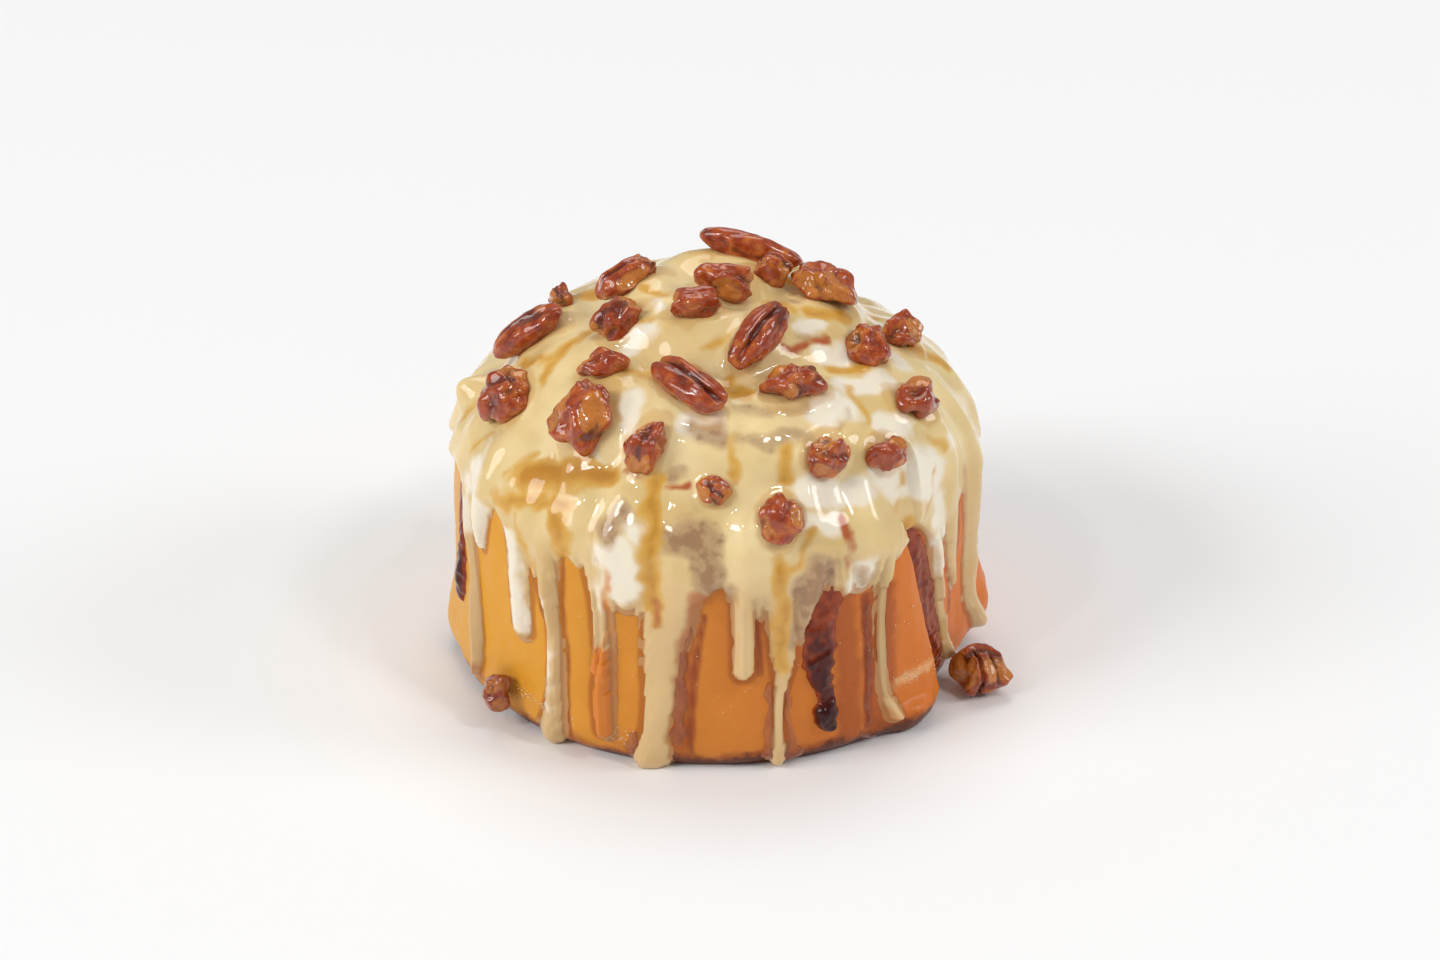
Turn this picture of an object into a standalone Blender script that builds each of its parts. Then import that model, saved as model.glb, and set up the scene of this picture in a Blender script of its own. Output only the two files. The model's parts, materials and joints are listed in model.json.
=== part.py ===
# Sticky bun: a coiled, baked roll with cinnamon filling, maple icing and glazed pecans.
# Metres, +Z up. The origin is the middle of the flat base, and -Y is the front.
#
# Everything on the bun is placed by an angle and a distance. The angle is counted from the front,
# positive towards +X. The distance runs over the surface from the top centre down to the foot.

import math
import random

import bmesh
import bpy
from mathutils import Matrix, Vector
from mathutils.bvhtree import BVHTree
from mathutils.geometry import interpolate_bezier

MM = 0.001

# Baked dough: radius and height of its side view in millimetres, top centre to foot
DOUGH_OUTLINE = (
    (0, 88.6), (14, 86.6), (27.5, 80.4), (39, 73.3), (49.5, 63.8), (55.2, 52.5),
    (56.8, 42), (56.8, 25), (57.0, 9), (56, 3), (53.5, 0),
)
COLUMNS = 44
COLUMN_CROWDING = 0.9
COLUMN_CROWD_REACH = 9.0
COLUMN_LEAN_REACH = 40.0
DOME_ROW = 6.0 * MM
WALL_ROW = 9.0 * MM
DOME_LENGTH = 72 * MM

# The coil line between two layers of dough, as radius over unwound angle
COIL_FRONT_RADIUS = 50 * MM
COIL_PITCH = 20 * MM
COIL_TAIL_RISE = 1.5 * MM
COIL_INNER_RADIUS = 5.5 * MM
COIL_STEP = 15.0
COIL_END_PAST = 2.0
COIL_RUN_OUT = 0.5 * MM
COIL_BEND_START = -30.0
COIL_BEND_LENGTH = 60.0
COIL_WALL_RADIUS = 55 * MM
COIL_LOWEST_TOP = 40 * MM
GROOVE_DEPTH = 2.6 * MM
GROOVE_WIDTH = 4.5 * MM
GROOVE_FADE_START = 61 * MM
GROOVE_FADE_LENGTH = 21.6 * MM

# The outer layer ends in a leaning seam on the wall, with a step down to the layer below it
SEAM_ANGLE = 50.3
SEAM_HEIGHT = 27 * MM
SEAM_LEAN = 0.31 / MM
SEAM_STEP = 4.0 * MM
SEAM_STEP_ANGLE = 0.9
SEAM_FADE_ANGLE = 45.0
SEAM_LIP = 0.8 * MM
SEAM_LIP_BACK = 3.0
SEAM_LIP_REACH = 4.0
SEAM_TOP = 62 * MM
SEAM_FULL = 45 * MM

# Soft bulges of the baked wall: angle, height, how far out, and their reach round, up and down
BULGES = (
    (-90, 7 * MM, 2.6 * MM, 11, 9 * MM, 6 * MM),
    (89, 10 * MM, 4.2 * MM, 8, 11 * MM, 5 * MM),
    (-20, 12 * MM, 0.6 * MM, 20, 8 * MM, 8 * MM),
    (178, 14 * MM, 1.8 * MM, 16, 11 * MM, 9 * MM),
)

GAP = 0.3 * MM
WELD = 0.01 * MM
FILLING_THICKNESS = 2.0 * MM
FILLING_FOOT = 1.2 * MM

# Filling that has run out: angle, height, width and how far it stands off the dough (mm)
LEAKS = {
    "front": (
        (14.5, 67, 4, -0.9), (19, 58, 6, -0.9), (23, 48, 7, -0.8), (25, 41, 7.5, 0.1),
        (23.2, 34, 7.5, 0.5), (22.3, 27, 8, 0.9), (23, 20.5, 6.6, 1.4), (23.8, 15, 6, 1.9),
        (24.3, 11.5, 6, 2.3), (24.4, 9.5, 3.6, 1.6),
    ),
    "left": (
        (-73, 66, 3, -0.9), (-73, 56, 4, -0.9), (-72.6, 48, 4, -0.3), (-71.2, 41, 4, 0.3),
        (-71.2, 34, 4.4, 0.9), (-72.8, 28, 6, 1.7), (-74.2, 23, 6.4, 1.5), (-74.5, 20, 4, 1.1),
    ),
    "seam": (
        (46, 55, 3, -0.9), (48, 46, 4, -0.4), (50, 40, 5, 0.5), (52.8, 31, 6, 1.0),
        (55.8, 23, 6.6, 1.1), (58.6, 15.5, 6.4, 1.0), (60.8, 10, 5, 0.9), (62.4, 6.5, 3, 0.7),
    ),
}
LEAK_ROOT = -2.4 * MM
TONGUE_SIDES = 6
TONGUE_ROW = 10.0
TONGUE_ROUND_ROWS = 1.6
TONGUE_WIDEST = 0.35
CHANNEL_SLACK = 1.4

ICING_THICKNESS = 1.5 * MM
ICING_EDGE_HEIGHT = 47 * MM
ICING_SEED = 11

# Drips of icing: each is angle, height and width (mm) at its stations, then thickness and
# how far its underside stands off the dough
DRIPS = (
    (
        (
            (-76, 58, 5), (-72.8, 55, 4), (-68.2, 50, 3), (-65.2, 43, 2.4), (-64, 36, 2.4),
            (-62.5, 26, 2.4), (-61, 15, 3), (-63, 7, 3.2),
        ), 1.5, 0.9,
    ),
    (((-63.5, 57, 7), (-60.7, 50, 7), (-59.7, 46, 6.6), (-58.8, 39, 2.4)), 1.5, 0.4),
    (((-50, 55, 7), (-46.8, 45, 7), (-45.4, 39, 7.6), (-45, 26, 6.8)), 1.7, 0.4),
    (
        (
            (-41, 54, 6), (-38, 44, 6.4), (-36.2, 34, 4.9), (-35.6, 20, 4.2), (-36, 10, 5.8),
            (-38, 2.4, 8),
        ), 1.6, 0.4,
    ),
    (((-29, 54, 6), (-26.8, 44, 3.6), (-25.4, 35, 2.6), (-25.2, 22.5, 1.6)), 1.4, 0.4),
    (((-24.5, 54, 3), (-23.2, 35, 2.4), (-23.4, 26, 3.6), (-24, 17, 5.4), (-23.4, 6.5, 5)), 1.3, 0.4),
    (((-19.5, 54, 10), (-19.5, 45, 9.5), (-18.5, 39.5, 6)), 1.5, 0.4),
    (
        (
            (-8, 54, 15), (-9.4, 38, 12), (-11, 29, 9), (-11.8, 20, 7.4), (-12.6, 10, 6),
            (-14, 1.8, 9),
        ), 1.7, 0.4,
    ),
    (((5.6, 54, 8), (6, 40, 5.4), (6.1, 30, 5.4), (6.1, 21.5, 5.2)), 1.9, 0.4),
    (
        (
            (12, 54, 10), (13.2, 38, 8.4), (14.2, 29, 8), (14.4, 22.5, 4.6), (13.6, 17, 2.9),
            (13.5, 9, 2.9), (13.7, 2.4, 5),
        ), 1.6, 0.4,
    ),
    (((20.7, 54, 11), (20.5, 44, 8), (19, 37, 4.5), (18.2, 31, 2)), 1.3, 1.0),
    (((26.3, 54, 5), (27, 48, 3.4), (27.3, 39.5, 1.8)), 1.5, 1.0),
    (((33, 54, 9), (32.6, 47, 7), (32, 41, 5)), 1.4, 1.0),
    (
        (
            (38.6, 54, 6), (38.3, 44, 3.6), (37.2, 34, 2.4), (37.7, 20, 2.2), (38.6, 13, 2.4),
            (41, 7, 4),
        ), 1.5, 0.4,
    ),
    (
        (
            (58.5, 54, 6), (59.6, 42, 4.4), (61.2, 32, 3.8), (63.6, 22, 2.6), (66.5, 13.5, 3.4),
            (70, 7, 5),
        ), 1.4, 0.5,
    ),
    (((65.5, 54, 7), (67, 42, 7.6), (68.4, 32, 6), (70.5, 24, 2)), 1.2, 0.5),
    (((77, 54, 13), (78.5, 41, 10.4), (79.2, 28, 7.8), (79.8, 17, 5.4), (84, 8, 4)), 1.7, 0.5),
)
DRIP_START = 1.2
BACK_DRIPS = 10
BACK_START = 94.0
BACK_END = 268.0
BACK_TIPS = (6.0, 14.0, 22.0, 30.0)

# A lump under the icing on the left shoulder: angle, height, radius, and how far out it sits
KNOB = (-87, 62 * MM, 4.2 * MM, 1.5 * MM)

# Pecans: kind, angle, distance (mm), turn, length, width, height (mm), lobes and their depth.
# The last ten lie behind the crest, where the front doesn't see them.
PECANS = (
    ("half", -85, 40.8, 76, 19.0, 9.0, 7.0, 0, 0.0),
    ("bit", -100, 34.5, 28, 9.0, 6.0, 5.5, 0, 0.0),
    ("piece", -86, 17.0, 111, 15.5, 8.0, 7.0, 0, 0.0),
    ("piece", -56, 24.0, 64, 13.5, 9.0, 6.5, 0, 0.0),
    ("piece", -41, 35.8, 41, 12.0, 7.5, 6.0, 3, 0.18),
    ("piece", -69, 51.3, 56, 13.5, 13.5, 8.5, 0, 0.0),
    ("piece", -37, 47.3, 90, 19.5, 13.5, 9.0, 2, 0.25),
    ("piece", -17, 50.0, 83, 12.5, 7.6, 7.0, 0, 0.0),
    ("half", -8, 37.3, -38, 20.0, 8.8, 7.2, 0, 0.0),
    ("half", 21, 24.6, 40, 20.0, 8.6, 7.2, 0, 0.0),
    ("piece", 27, 38.0, -5, 16.5, 10.0, 7.0, 5, 0.20),
    ("half", 145, 11.5, 26, 22.5, 8.4, 6.8, 0, 0.0),
    ("bit", 90, 10.8, 80, 8.5, 5.6, 7.5, 0, 0.0),
    ("piece", 18, 6.8, -33, 15.0, 9.5, 8.0, 3, 0.12),
    ("piece", -13, 16.6, 16, 13.5, 7.5, 7.0, 3, 0.15),
    ("piece", 87, 23.0, 82, 18.0, 11.5, 8.0, 2, 0.22),
    ("bit", 88, 42.5, 81, 10.0, 9.5, 8.0, 3, 0.15),
    ("piece", 67, 37.0, -52, 10.5, 11.5, 9.0, 3, 0.20),
    ("piece", 61, 51.0, -30, 14.5, 9.5, 7.5, 2, 0.28),
    ("piece", 28, 53.8, 22, 10.5, 9.5, 7.0, 3, 0.12),
    ("bit", 44, 57.0, -13, 11.0, 8.0, 6.5, 3, 0.20),
    ("piece", 14, 65.0, 60, 12.0, 9.8, 7.0, 2, 0.22),
    ("bit", 0, 58.7, -39, 7.0, 6.2, 5.2, 0, 0.0),
    ("bit", -50, 113.0, 20, 9.5, 9.0, 6.0, 3, 0.15),
    ("piece", 172, 40.0, 20, 12.5, 9.5, 7.0, 0, 0.0),
    ("bit", 147, 46.0, 60, 8.5, 7.0, 5.5, 0, 0.0),
    ("half", 185, 57.0, 62, 19.0, 9.0, 6.8, 0, 0.0),
    ("piece", 203, 56.0, 110, 12.8, 9.2, 7.0, 3, 0.15),
    ("piece", 160, 58.0, 75, 12.2, 9.6, 7.0, 2, 0.20),
    ("bit", 173, 66.0, 15, 8.8, 7.0, 5.5, 0, 0.0),
    ("piece", 140, 69.0, 140, 12.6, 9.4, 7.0, 0, 0.0),
    ("bit", 214, 65.0, 50, 8.4, 6.8, 5.2, 3, 0.15),
    ("piece", 231, 70.0, 95, 12.4, 9.2, 6.8, 0, 0.0),
    ("bit", 199, 68.0, 95, 8.4, 6.8, 5.2, 0, 0.0),
)
PECAN_SINK = 0.18
PECAN_GAP = 0.35 * MM
PECAN_SEED = 4
KIND_MESH = {"half": (10, 8), "piece": (9, 7), "bit": (8, 5)}

# The ridged piece that has slid down to the right foot: place of its middle, and its sizes
FALLEN_PECAN = (Vector((58.0, -23.3, 5.7)) * MM, 24.0, (12.5, 11.5, 11.2))

COLOURS = {
    "bun_dough": ("baked_dough", (0.63, 0.29, 0.07), 0.55),
    "cinnamon_filling": ("cinnamon_filling", (0.07, 0.02, 0.015), 0.25),
    "maple_icing": ("maple_icing", (0.72, 0.55, 0.31), 0.30),
    "pecan": ("glazed_pecan", (0.33, 0.11, 0.04), 0.35),
}


# The dough's side view as a table of distance, radius, height and outward normal
def side_view(outline, pieces=20):
    knots = [Vector((radius * MM, height * MM)) for radius, height in outline]
    headings = [Vector((1, 0))]
    headings += [(knots[i + 1] - knots[i - 1]).normalized() for i in range(1, len(knots) - 1)]
    headings.append((knots[-1] - knots[-2]).normalized())
    points = [knots[0]]
    for i in range(len(knots) - 1):
        reach = (knots[i + 1] - knots[i]).length / 3
        start_handle = knots[i] + headings[i] * reach
        end_handle = knots[i + 1] - headings[i + 1] * reach
        points += interpolate_bezier(knots[i], start_handle, end_handle, knots[i + 1], pieces)[1:]
    table = []
    distance = 0.0
    for i, point in enumerate(points):
        before = points[max(i - 1, 0)]
        after = points[min(i + 1, len(points) - 1)]
        distance += (point - before).length
        along = (after - before).normalized()
        table.append((distance, point.x, point.y, -along.y, along.x))
    return table


SIDE = side_view(DOUGH_OUTLINE)
FOOT = SIDE[-1][0]


# The row of the side view where a column has a value, straight between the rows around it
def side_at(value, column=0):
    for low, high in zip(SIDE, SIDE[1:]):
        if (high[column] - value) * (low[column] - value) <= 0 and high[column] != low[column]:
            share = (value - low[column]) / (high[column] - low[column])
            return tuple(a + (b - a) * share for a, b in zip(low, high))
    nearer_start = abs(value - SIDE[0][column]) < abs(value - SIDE[-1][column])
    return SIDE[0] if nearer_start else SIDE[-1]


def distance_at_height(height):
    return side_at(height, 2)[0]


def distance_at_radius(radius):
    return side_at(radius, 1)[0]


def smooth(value):
    value = min(max(value, 0.0), 1.0)
    return value * value * (3 - 2 * value)


def hump(offset, reach):
    return math.exp(-((offset / reach) ** 2))


def wrapped(angle):
    return (angle + 180.0) % 360.0 - 180.0


def coil_radius(unwound):
    rise = COIL_TAIL_RISE * min(max(unwound / SEAM_ANGLE, 0.0), 1.0) ** 2
    return COIL_FRONT_RADIUS + COIL_PITCH * unwound / 360.0 + rise


def seam_angle(height):
    return SEAM_ANGLE + (SEAM_HEIGHT - height) * SEAM_LEAN


# How far a point seen from above lies from the nearest coil line
def coil_offset(angle, radius):
    unwound = wrapped(angle)
    if unwound > SEAM_ANGLE:
        unwound -= 360.0
    nearest = COIL_PITCH
    while coil_radius(unwound) > 0:
        nearest = min(nearest, abs(radius - coil_radius(unwound)))
        unwound -= 360.0
    return nearest


# Relief of the dough over its smooth side view: grooves, bulges, seam step and its lip
def relief(angle, distance):
    _, radius, height, _, _ = side_at(distance)
    on_dome = 1 - smooth((distance - GROOVE_FADE_START) / GROOVE_FADE_LENGTH)
    out = -GROOVE_DEPTH * hump(coil_offset(angle, radius), GROOVE_WIDTH) * on_dome
    for middle, level, size, reach_round, reach_up, reach_down in BULGES:
        reach = reach_up if height > level else reach_down
        out += size * hump(wrapped(angle - middle), reach_round) * hump(height - level, reach)
    past = wrapped(angle - seam_angle(height))
    amount = 1 - smooth((height - SEAM_FULL) / (SEAM_TOP - SEAM_FULL))
    if past > 0:
        fade = 1 - smooth(past / SEAM_FADE_ANGLE)
        out -= SEAM_STEP * amount * fade * min(past / SEAM_STEP_ANGLE, 1.0)
    else:
        out += SEAM_LIP * amount * hump(past + SEAM_LIP_BACK, SEAM_LIP_REACH)
    return out


# The point at an angle and a distance over the dough, standing off it by a height
def on_dough(angle, distance, off=0.0):
    _, radius, height, normal_r, normal_z = side_at(distance)
    out = relief(angle, distance) + off
    turn = math.radians(angle)
    radius = radius + normal_r * out
    return Vector((radius * math.sin(turn), -radius * math.cos(turn), height + normal_z * out))


# Columns of the spun meshes crowd at the seam and lean with it
def crowd_at_seam(angle, height):
    past = wrapped(angle - SEAM_ANGLE)
    closer = past * (1 - COLUMN_CROWDING * hump(past, COLUMN_CROWD_REACH))
    lean = (seam_angle(height) - SEAM_ANGLE) * hump(past, COLUMN_LEAN_REACH)
    return SEAM_ANGLE + closer + lean


def material_for(key):
    name, colour, roughness = COLOURS[key]
    found = bpy.data.materials.get(name)
    if found:
        return found
    material = bpy.data.materials.new(name)
    material.use_nodes = True
    shader = material.node_tree.nodes["Principled BSDF"]
    shader.inputs["Base Color"].default_value = (*colour, 1.0)
    shader.inputs["Roughness"].default_value = roughness
    shader.inputs["Metallic"].default_value = 0.0
    return material


def add_object(name, bm, key=None):
    mesh = bpy.data.meshes.new(name)
    bm.to_mesh(mesh)
    bm.free()
    obj = bpy.data.objects.new(name, mesh)
    bpy.context.scene.collection.objects.link(obj)
    if key:
        mesh.materials.append(material_for(key))
        mesh.shade_smooth()
    return obj


# A cutter shows as wire and isn't rendered
def as_cutter(obj, collection):
    bpy.context.scene.collection.objects.unlink(obj)
    collection.objects.link(obj)
    obj.hide_render = True
    obj.display_type = "WIRE"


def new_collection(name):
    collection = bpy.data.collections.new(name)
    bpy.context.scene.collection.children.link(collection)
    return collection


# Joins or cuts an object by every object of a collection, then removes those objects
def apply_boolean(obj, collection, operation):
    modifier = obj.modifiers.new(operation.lower(), "BOOLEAN")
    modifier.operation = operation
    modifier.operand_type = "COLLECTION"
    modifier.collection = collection
    modifier.solver = "EXACT"
    depsgraph = bpy.context.evaluated_depsgraph_get()
    result = bpy.data.meshes.new_from_object(obj.evaluated_get(depsgraph))
    obj.modifiers.clear()
    bm = bmesh.new()
    bm.from_mesh(result)
    bmesh.ops.dissolve_degenerate(bm, dist=WELD, edges=bm.edges)
    bmesh.ops.triangulate(bm, faces=bm.faces)
    bm.to_mesh(result)
    bm.free()
    old = obj.data
    obj.data = result
    bpy.data.meshes.remove(old)
    for part in list(collection.objects):
        bpy.data.objects.remove(part)
    bpy.data.collections.remove(collection)


# Spins a chain of (distance, off) points round the axis as a flat disc
def spin_disc(chain):
    bm = bmesh.new()
    start = math.radians(SEAM_ANGLE + 180.0 / COLUMNS)
    verts = []
    for distance, off in chain:
        verts.append(bm.verts.new((distance * math.sin(start), -distance * math.cos(start), off)))
    edges = [bm.edges.new(pair) for pair in zip(verts, verts[1:])]
    bmesh.ops.spin(
        bm, geom=verts + edges, cent=(0, 0, 0), axis=(0, 0, 1), angle=math.tau,
        steps=COLUMNS, use_merge=True, use_duplicate=False,
    )
    bmesh.ops.remove_doubles(bm, verts=bm.verts, dist=WELD)
    return bm


def row_distances():
    dome_rows = round(DOME_LENGTH / DOME_ROW)
    rows = [DOME_LENGTH * i / dome_rows for i in range(dome_rows + 1)]
    bend = distance_at_height(9 * MM)
    wall_rows = round((bend - DOME_LENGTH) / WALL_ROW)
    rows += [DOME_LENGTH + (bend - DOME_LENGTH) * (i + 1) / wall_rows for i in range(wall_rows)]
    return rows + [distance_at_height(3 * MM), FOOT]


# Unwound angles of the coil strip's columns, from the seam to the middle of the bun
def coil_columns():
    last = (COIL_INNER_RADIUS - COIL_FRONT_RADIUS) / COIL_PITCH * 360.0
    first = SEAM_ANGLE + COIL_END_PAST
    return [first - COIL_STEP * i for i in range(math.ceil((first - last) / COIL_STEP))] + [last]


# The middle of the coil strip seen from above, at an unwound angle and a height
def coil_spot(unwound, height):
    outside = max(unwound - SEAM_ANGLE - COIL_END_PAST, 0.0) * COIL_RUN_OUT
    bend = smooth((unwound - COIL_BEND_START) / COIL_BEND_LENGTH)
    ends = []
    for level in (0.0, SEAM_TOP):
        turn = math.radians(unwound + (seam_angle(level) - SEAM_ANGLE) * bend)
        ends.append(Vector((math.sin(turn), -math.cos(turn))) * (coil_radius(unwound) + outside))
    return ends[0].lerp(ends[1], height / SEAM_TOP)


# The coil strip between the layers: a bent ribbon raised from its foot up to the dough's surface
def coil_strip(width, foot, over_surface, columns):
    def place(column, side, height):
        unwound = columns[column]
        here = coil_spot(unwound, height)
        heading = (here - coil_spot(unwound - 1.0, height)).normalized()
        return here + Vector((heading.y, -heading.x)) * side * width / 2

    def surface_height(column, side):
        height = SEAM_FULL
        lowest = distance_at_height(COIL_LOWEST_TOP)
        distance = distance_at_radius(min(place(column, side, height).length, COIL_WALL_RADIUS))
        for _ in range(12):
            spot = place(column, side, height)
            top = on_dough(math.degrees(math.atan2(spot.x, -spot.y)), distance, over_surface)
            distance = min(distance + spot.length - top.to_2d().length, lowest)
            height = top.z
        return height

    bm = bmesh.new()
    bmesh.ops.create_grid(bm, x_segments=len(columns) - 1, y_segments=1, size=1)
    raised = bmesh.ops.extrude_face_region(bm, geom=bm.faces[:])
    tops = {item for item in raised["geom"] if isinstance(item, bmesh.types.BMVert)}
    for vert in bm.verts:
        column = round((vert.co.x + 1) / 2 * (len(columns) - 1))
        side = vert.co.y
        height = surface_height(column, side) if vert in tops else foot
        spot = place(column, side, height)
        vert.co = (spot.x, spot.y, height)
    bmesh.ops.triangulate(bm, faces=bm.faces, quad_method="FIXED")
    bmesh.ops.recalc_face_normals(bm, faces=bm.faces)
    return bm


# Smooth value at a share of the way through a list of stations
def along_stations(stations, share):
    place = share * (len(stations) - 1)
    index = min(int(place), len(stations) - 2)
    rest = place - index
    before = stations[max(index - 1, 0)]
    start, end = stations[index], stations[index + 1]
    after = stations[min(index + 2, len(stations) - 1)]
    result = []
    for a, b, c, d in zip(before, start, end, after):
        bend = (2 * b + (c - a) * rest + (2 * a - 5 * b + 4 * c - d) * rest ** 2
                + (3 * b - a - 3 * c + d) * rest ** 3)
        result.append(bend / 2)
    return result


# A tongue that lies on the dough: a sphere drawn out along its stations, from pole to pole
def tongue(stations, grow=0.0):
    length = sum(abs(b[1] - a[1]) for a, b in zip(stations, stations[1:]))
    rows = max(5, round(length / TONGUE_ROW) + 2)
    bm = bmesh.new()
    bmesh.ops.create_uvsphere(bm, u_segments=TONGUE_SIDES, v_segments=rows, radius=1.0)
    end_share = TONGUE_ROUND_ROWS / rows
    for vert in bm.verts:
        share = math.acos(min(max(vert.co.z, -1), 1)) / math.pi
        around = math.atan2(vert.co.y, vert.co.x)
        angle, height, width, under, over = along_stations(stations, share)
        ends = min(share, 1 - share) / end_share
        plump = math.sqrt(max(1 - (1 - min(ends, 1.0)) ** 2, 0.0))
        reach = width * MM / 2 * plump
        across = -math.cos(around) * reach
        rise = math.sin(around)
        middle = under + (over - under) * TONGUE_WIDEST
        side_room = (over - middle if rise > 0 else middle - under) * max(plump, TONGUE_WIDEST)
        off = (middle + side_room * rise) * MM
        distance = distance_at_height(height * MM)
        radius = side_at(distance)[1]
        vert.co = on_dough(angle + math.degrees(across / radius), distance, off)
    bm.normal_update()
    for vert in bm.verts:
        vert.co += vert.normal * grow * CHANNEL_SLACK
    return bm


def make_dough():
    rows = row_distances()
    bm = spin_disc([(distance, 0.0) for distance in rows])
    for vert in bm.verts:
        angle = math.degrees(math.atan2(vert.co.x, -vert.co.y))
        distance = vert.co.to_2d().length
        height = side_at(distance)[2]
        vert.co = on_dough(crowd_at_seam(angle, height), distance)
        if distance > FOOT - 0.1 * MM:
            vert.co.z = 0.0
    rim = [edge for edge in bm.edges if edge.is_boundary]
    bmesh.ops.contextual_create(bm, geom=rim)
    bmesh.ops.recalc_face_normals(bm, faces=bm.faces)
    dough = add_object("bun_dough", bm, "bun_dough")
    cutters = new_collection("dough_cutters")
    columns = coil_columns()
    longer = [columns[0] + COIL_STEP] + columns + [columns[-1] - COIL_STEP]
    slot = coil_strip(FILLING_THICKNESS + 2 * GAP, -1.5 * MM, 3 * MM, longer)
    as_cutter(add_object("coil_slot", slot), cutters)
    for name, stations in LEAKS.items():
        channel = tongue(leak_stations(stations), grow=GAP)
        as_cutter(add_object(name + "_channel", channel), cutters)
    apply_boolean(dough, cutters, "DIFFERENCE")
    dough.data.shade_smooth()
    dough.data.set_sharp_from_angle(angle=math.radians(40))
    return dough


def leak_stations(stations):
    return [(angle, height, width, LEAK_ROOT / MM, over) for angle, height, width, over in stations]


def make_filling():
    strip = coil_strip(FILLING_THICKNESS, FILLING_FOOT, -0.6 * MM, coil_columns())
    filling = add_object("cinnamon_filling", strip, "cinnamon_filling")
    leaks = new_collection("leaks")
    for name, stations in LEAKS.items():
        leak = add_object(name + "_leak", tongue(leak_stations(stations)), "cinnamon_filling")
        as_cutter(leak, leaks)
    apply_boolean(filling, leaks, "UNION")
    return filling


# Lower edge of the icing between the drips
def icing_edge(angle):
    wave = 1.4 * math.sin(math.radians(5 * angle + 40)) + 1.2 * math.sin(math.radians(11 * angle))
    return ICING_EDGE_HEIGHT + wave * MM


def make_icing_cap():
    top = GAP + ICING_THICKNESS
    edge = distance_at_height(ICING_EDGE_HEIGHT)
    fixed = DOME_LENGTH - DOME_ROW
    rows = [distance for distance in row_distances() if distance < edge - 2 * MM]
    chain = [(distance, top) for distance in rows] + [(edge - 1.2 * MM, top), (edge, 0.6 * top)]
    chain += [(edge - 0.6 * MM, GAP)] + [(distance, GAP) for distance in reversed(rows)]
    bm = spin_disc(chain)
    for vert in bm.verts:
        angle = math.degrees(math.atan2(vert.co.x, -vert.co.y))
        distance = vert.co.to_2d().length
        if distance > fixed:
            wanted = distance_at_height(icing_edge(angle))
            distance = fixed + (distance - fixed) * (wanted - fixed) / (edge - fixed)
        height = side_at(distance)[2]
        vert.co = on_dough(crowd_at_seam(angle, height), distance, vert.co.z)
    bmesh.ops.recalc_face_normals(bm, faces=bm.faces)
    return bm


def back_drips():
    draw = random.Random(ICING_SEED)
    drips = []
    for i in range(BACK_DRIPS):
        angle = BACK_START + (BACK_END - BACK_START) * (i + 0.5) / BACK_DRIPS + draw.uniform(-3, 3)
        width = draw.uniform(2.6, 6.5)
        tip = draw.choice(BACK_TIPS) + draw.uniform(-3, 3)
        stray = draw.uniform(-2.5, 2.5)
        stations = (
            (angle, 53.5, width + 4), (angle + 0.3 * stray, 43, width),
            (angle + 0.7 * stray, (43 + tip) / 2, 0.75 * width), (angle + stray, tip, 0.85 * width),
        )
        drips.append((stations, 1.5, 0.4))
    return drips


def make_icing():
    icing = add_object("maple_icing", make_icing_cap(), "maple_icing")
    drips = new_collection("drips")
    for i, (stations, thickness, under) in enumerate(list(DRIPS) + back_drips()):
        unders = [DRIP_START] + [under] * (len(stations) - 1)
        full = [(*station, low, low + thickness) for station, low in zip(stations, unders)]
        as_cutter(add_object(f"drip_{i}", tongue(full), "maple_icing"), drips)
    angle, height, radius, out = KNOB
    knob_middle = on_dough(angle, distance_at_height(height), out + radius / 2)
    lump = bmesh.new()
    bmesh.ops.create_icosphere(lump, subdivisions=1, radius=radius)
    bmesh.ops.scale(lump, vec=(0.75, 1, 1), verts=lump.verts)
    bmesh.ops.translate(lump, vec=knob_middle, verts=lump.verts)
    as_cutter(add_object("icing_knob", lump, "maple_icing"), drips)
    apply_boolean(icing, drips, "UNION")
    return icing


# A pecan half or a broken bit of one: a sphere with poles at its ends, furrowed and lumpy
def pecan_mesh(kind, length, width, height, lobes, lobe_depth, seed):
    draw = random.Random(seed)
    sides, rows = KIND_MESH[kind]
    bm = bmesh.new()
    bmesh.ops.create_uvsphere(bm, u_segments=sides, v_segments=rows, radius=1.0)
    bmesh.ops.rotate(bm, cent=(0, 0, 0), matrix=Matrix.Rotation(math.pi / 2, 3, "Y"), verts=bm.verts)
    waves = []
    for _ in range(4):
        waves.append((draw.uniform(1.5, 3.5), draw.uniform(0, math.tau), draw.choice((0, 1, 2))))
    cut_place = draw.uniform(0.62, 0.82)
    cut_slant = draw.uniform(-0.35, 0.35)
    for vert in bm.verts:
        spot = vert.co.copy()
        lump = sum(math.sin(rate * spot[axis] * 2 + phase) for rate, phase, axis in waves) / 4
        size = 1 + (0.05 if kind == "half" else 0.12) * lump
        if kind == "half" or lobes == 0:
            furrow = hump(spot.y, 0.3) * max(spot.z, 0)
            size -= (0.26 if kind == "half" else 0.16) * furrow
        if lobes:
            around = math.atan2(spot.y, spot.x)
            size *= 1 - lobe_depth * (0.5 + 0.5 * math.cos(lobes * around))
        spot *= size
        if kind != "half":
            spot.x = min(spot.x, cut_place + cut_slant * spot.y)
        vert.co = Vector((spot.x * length, spot.y * width, spot.z * height)) * MM / 2
    return bm


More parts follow.
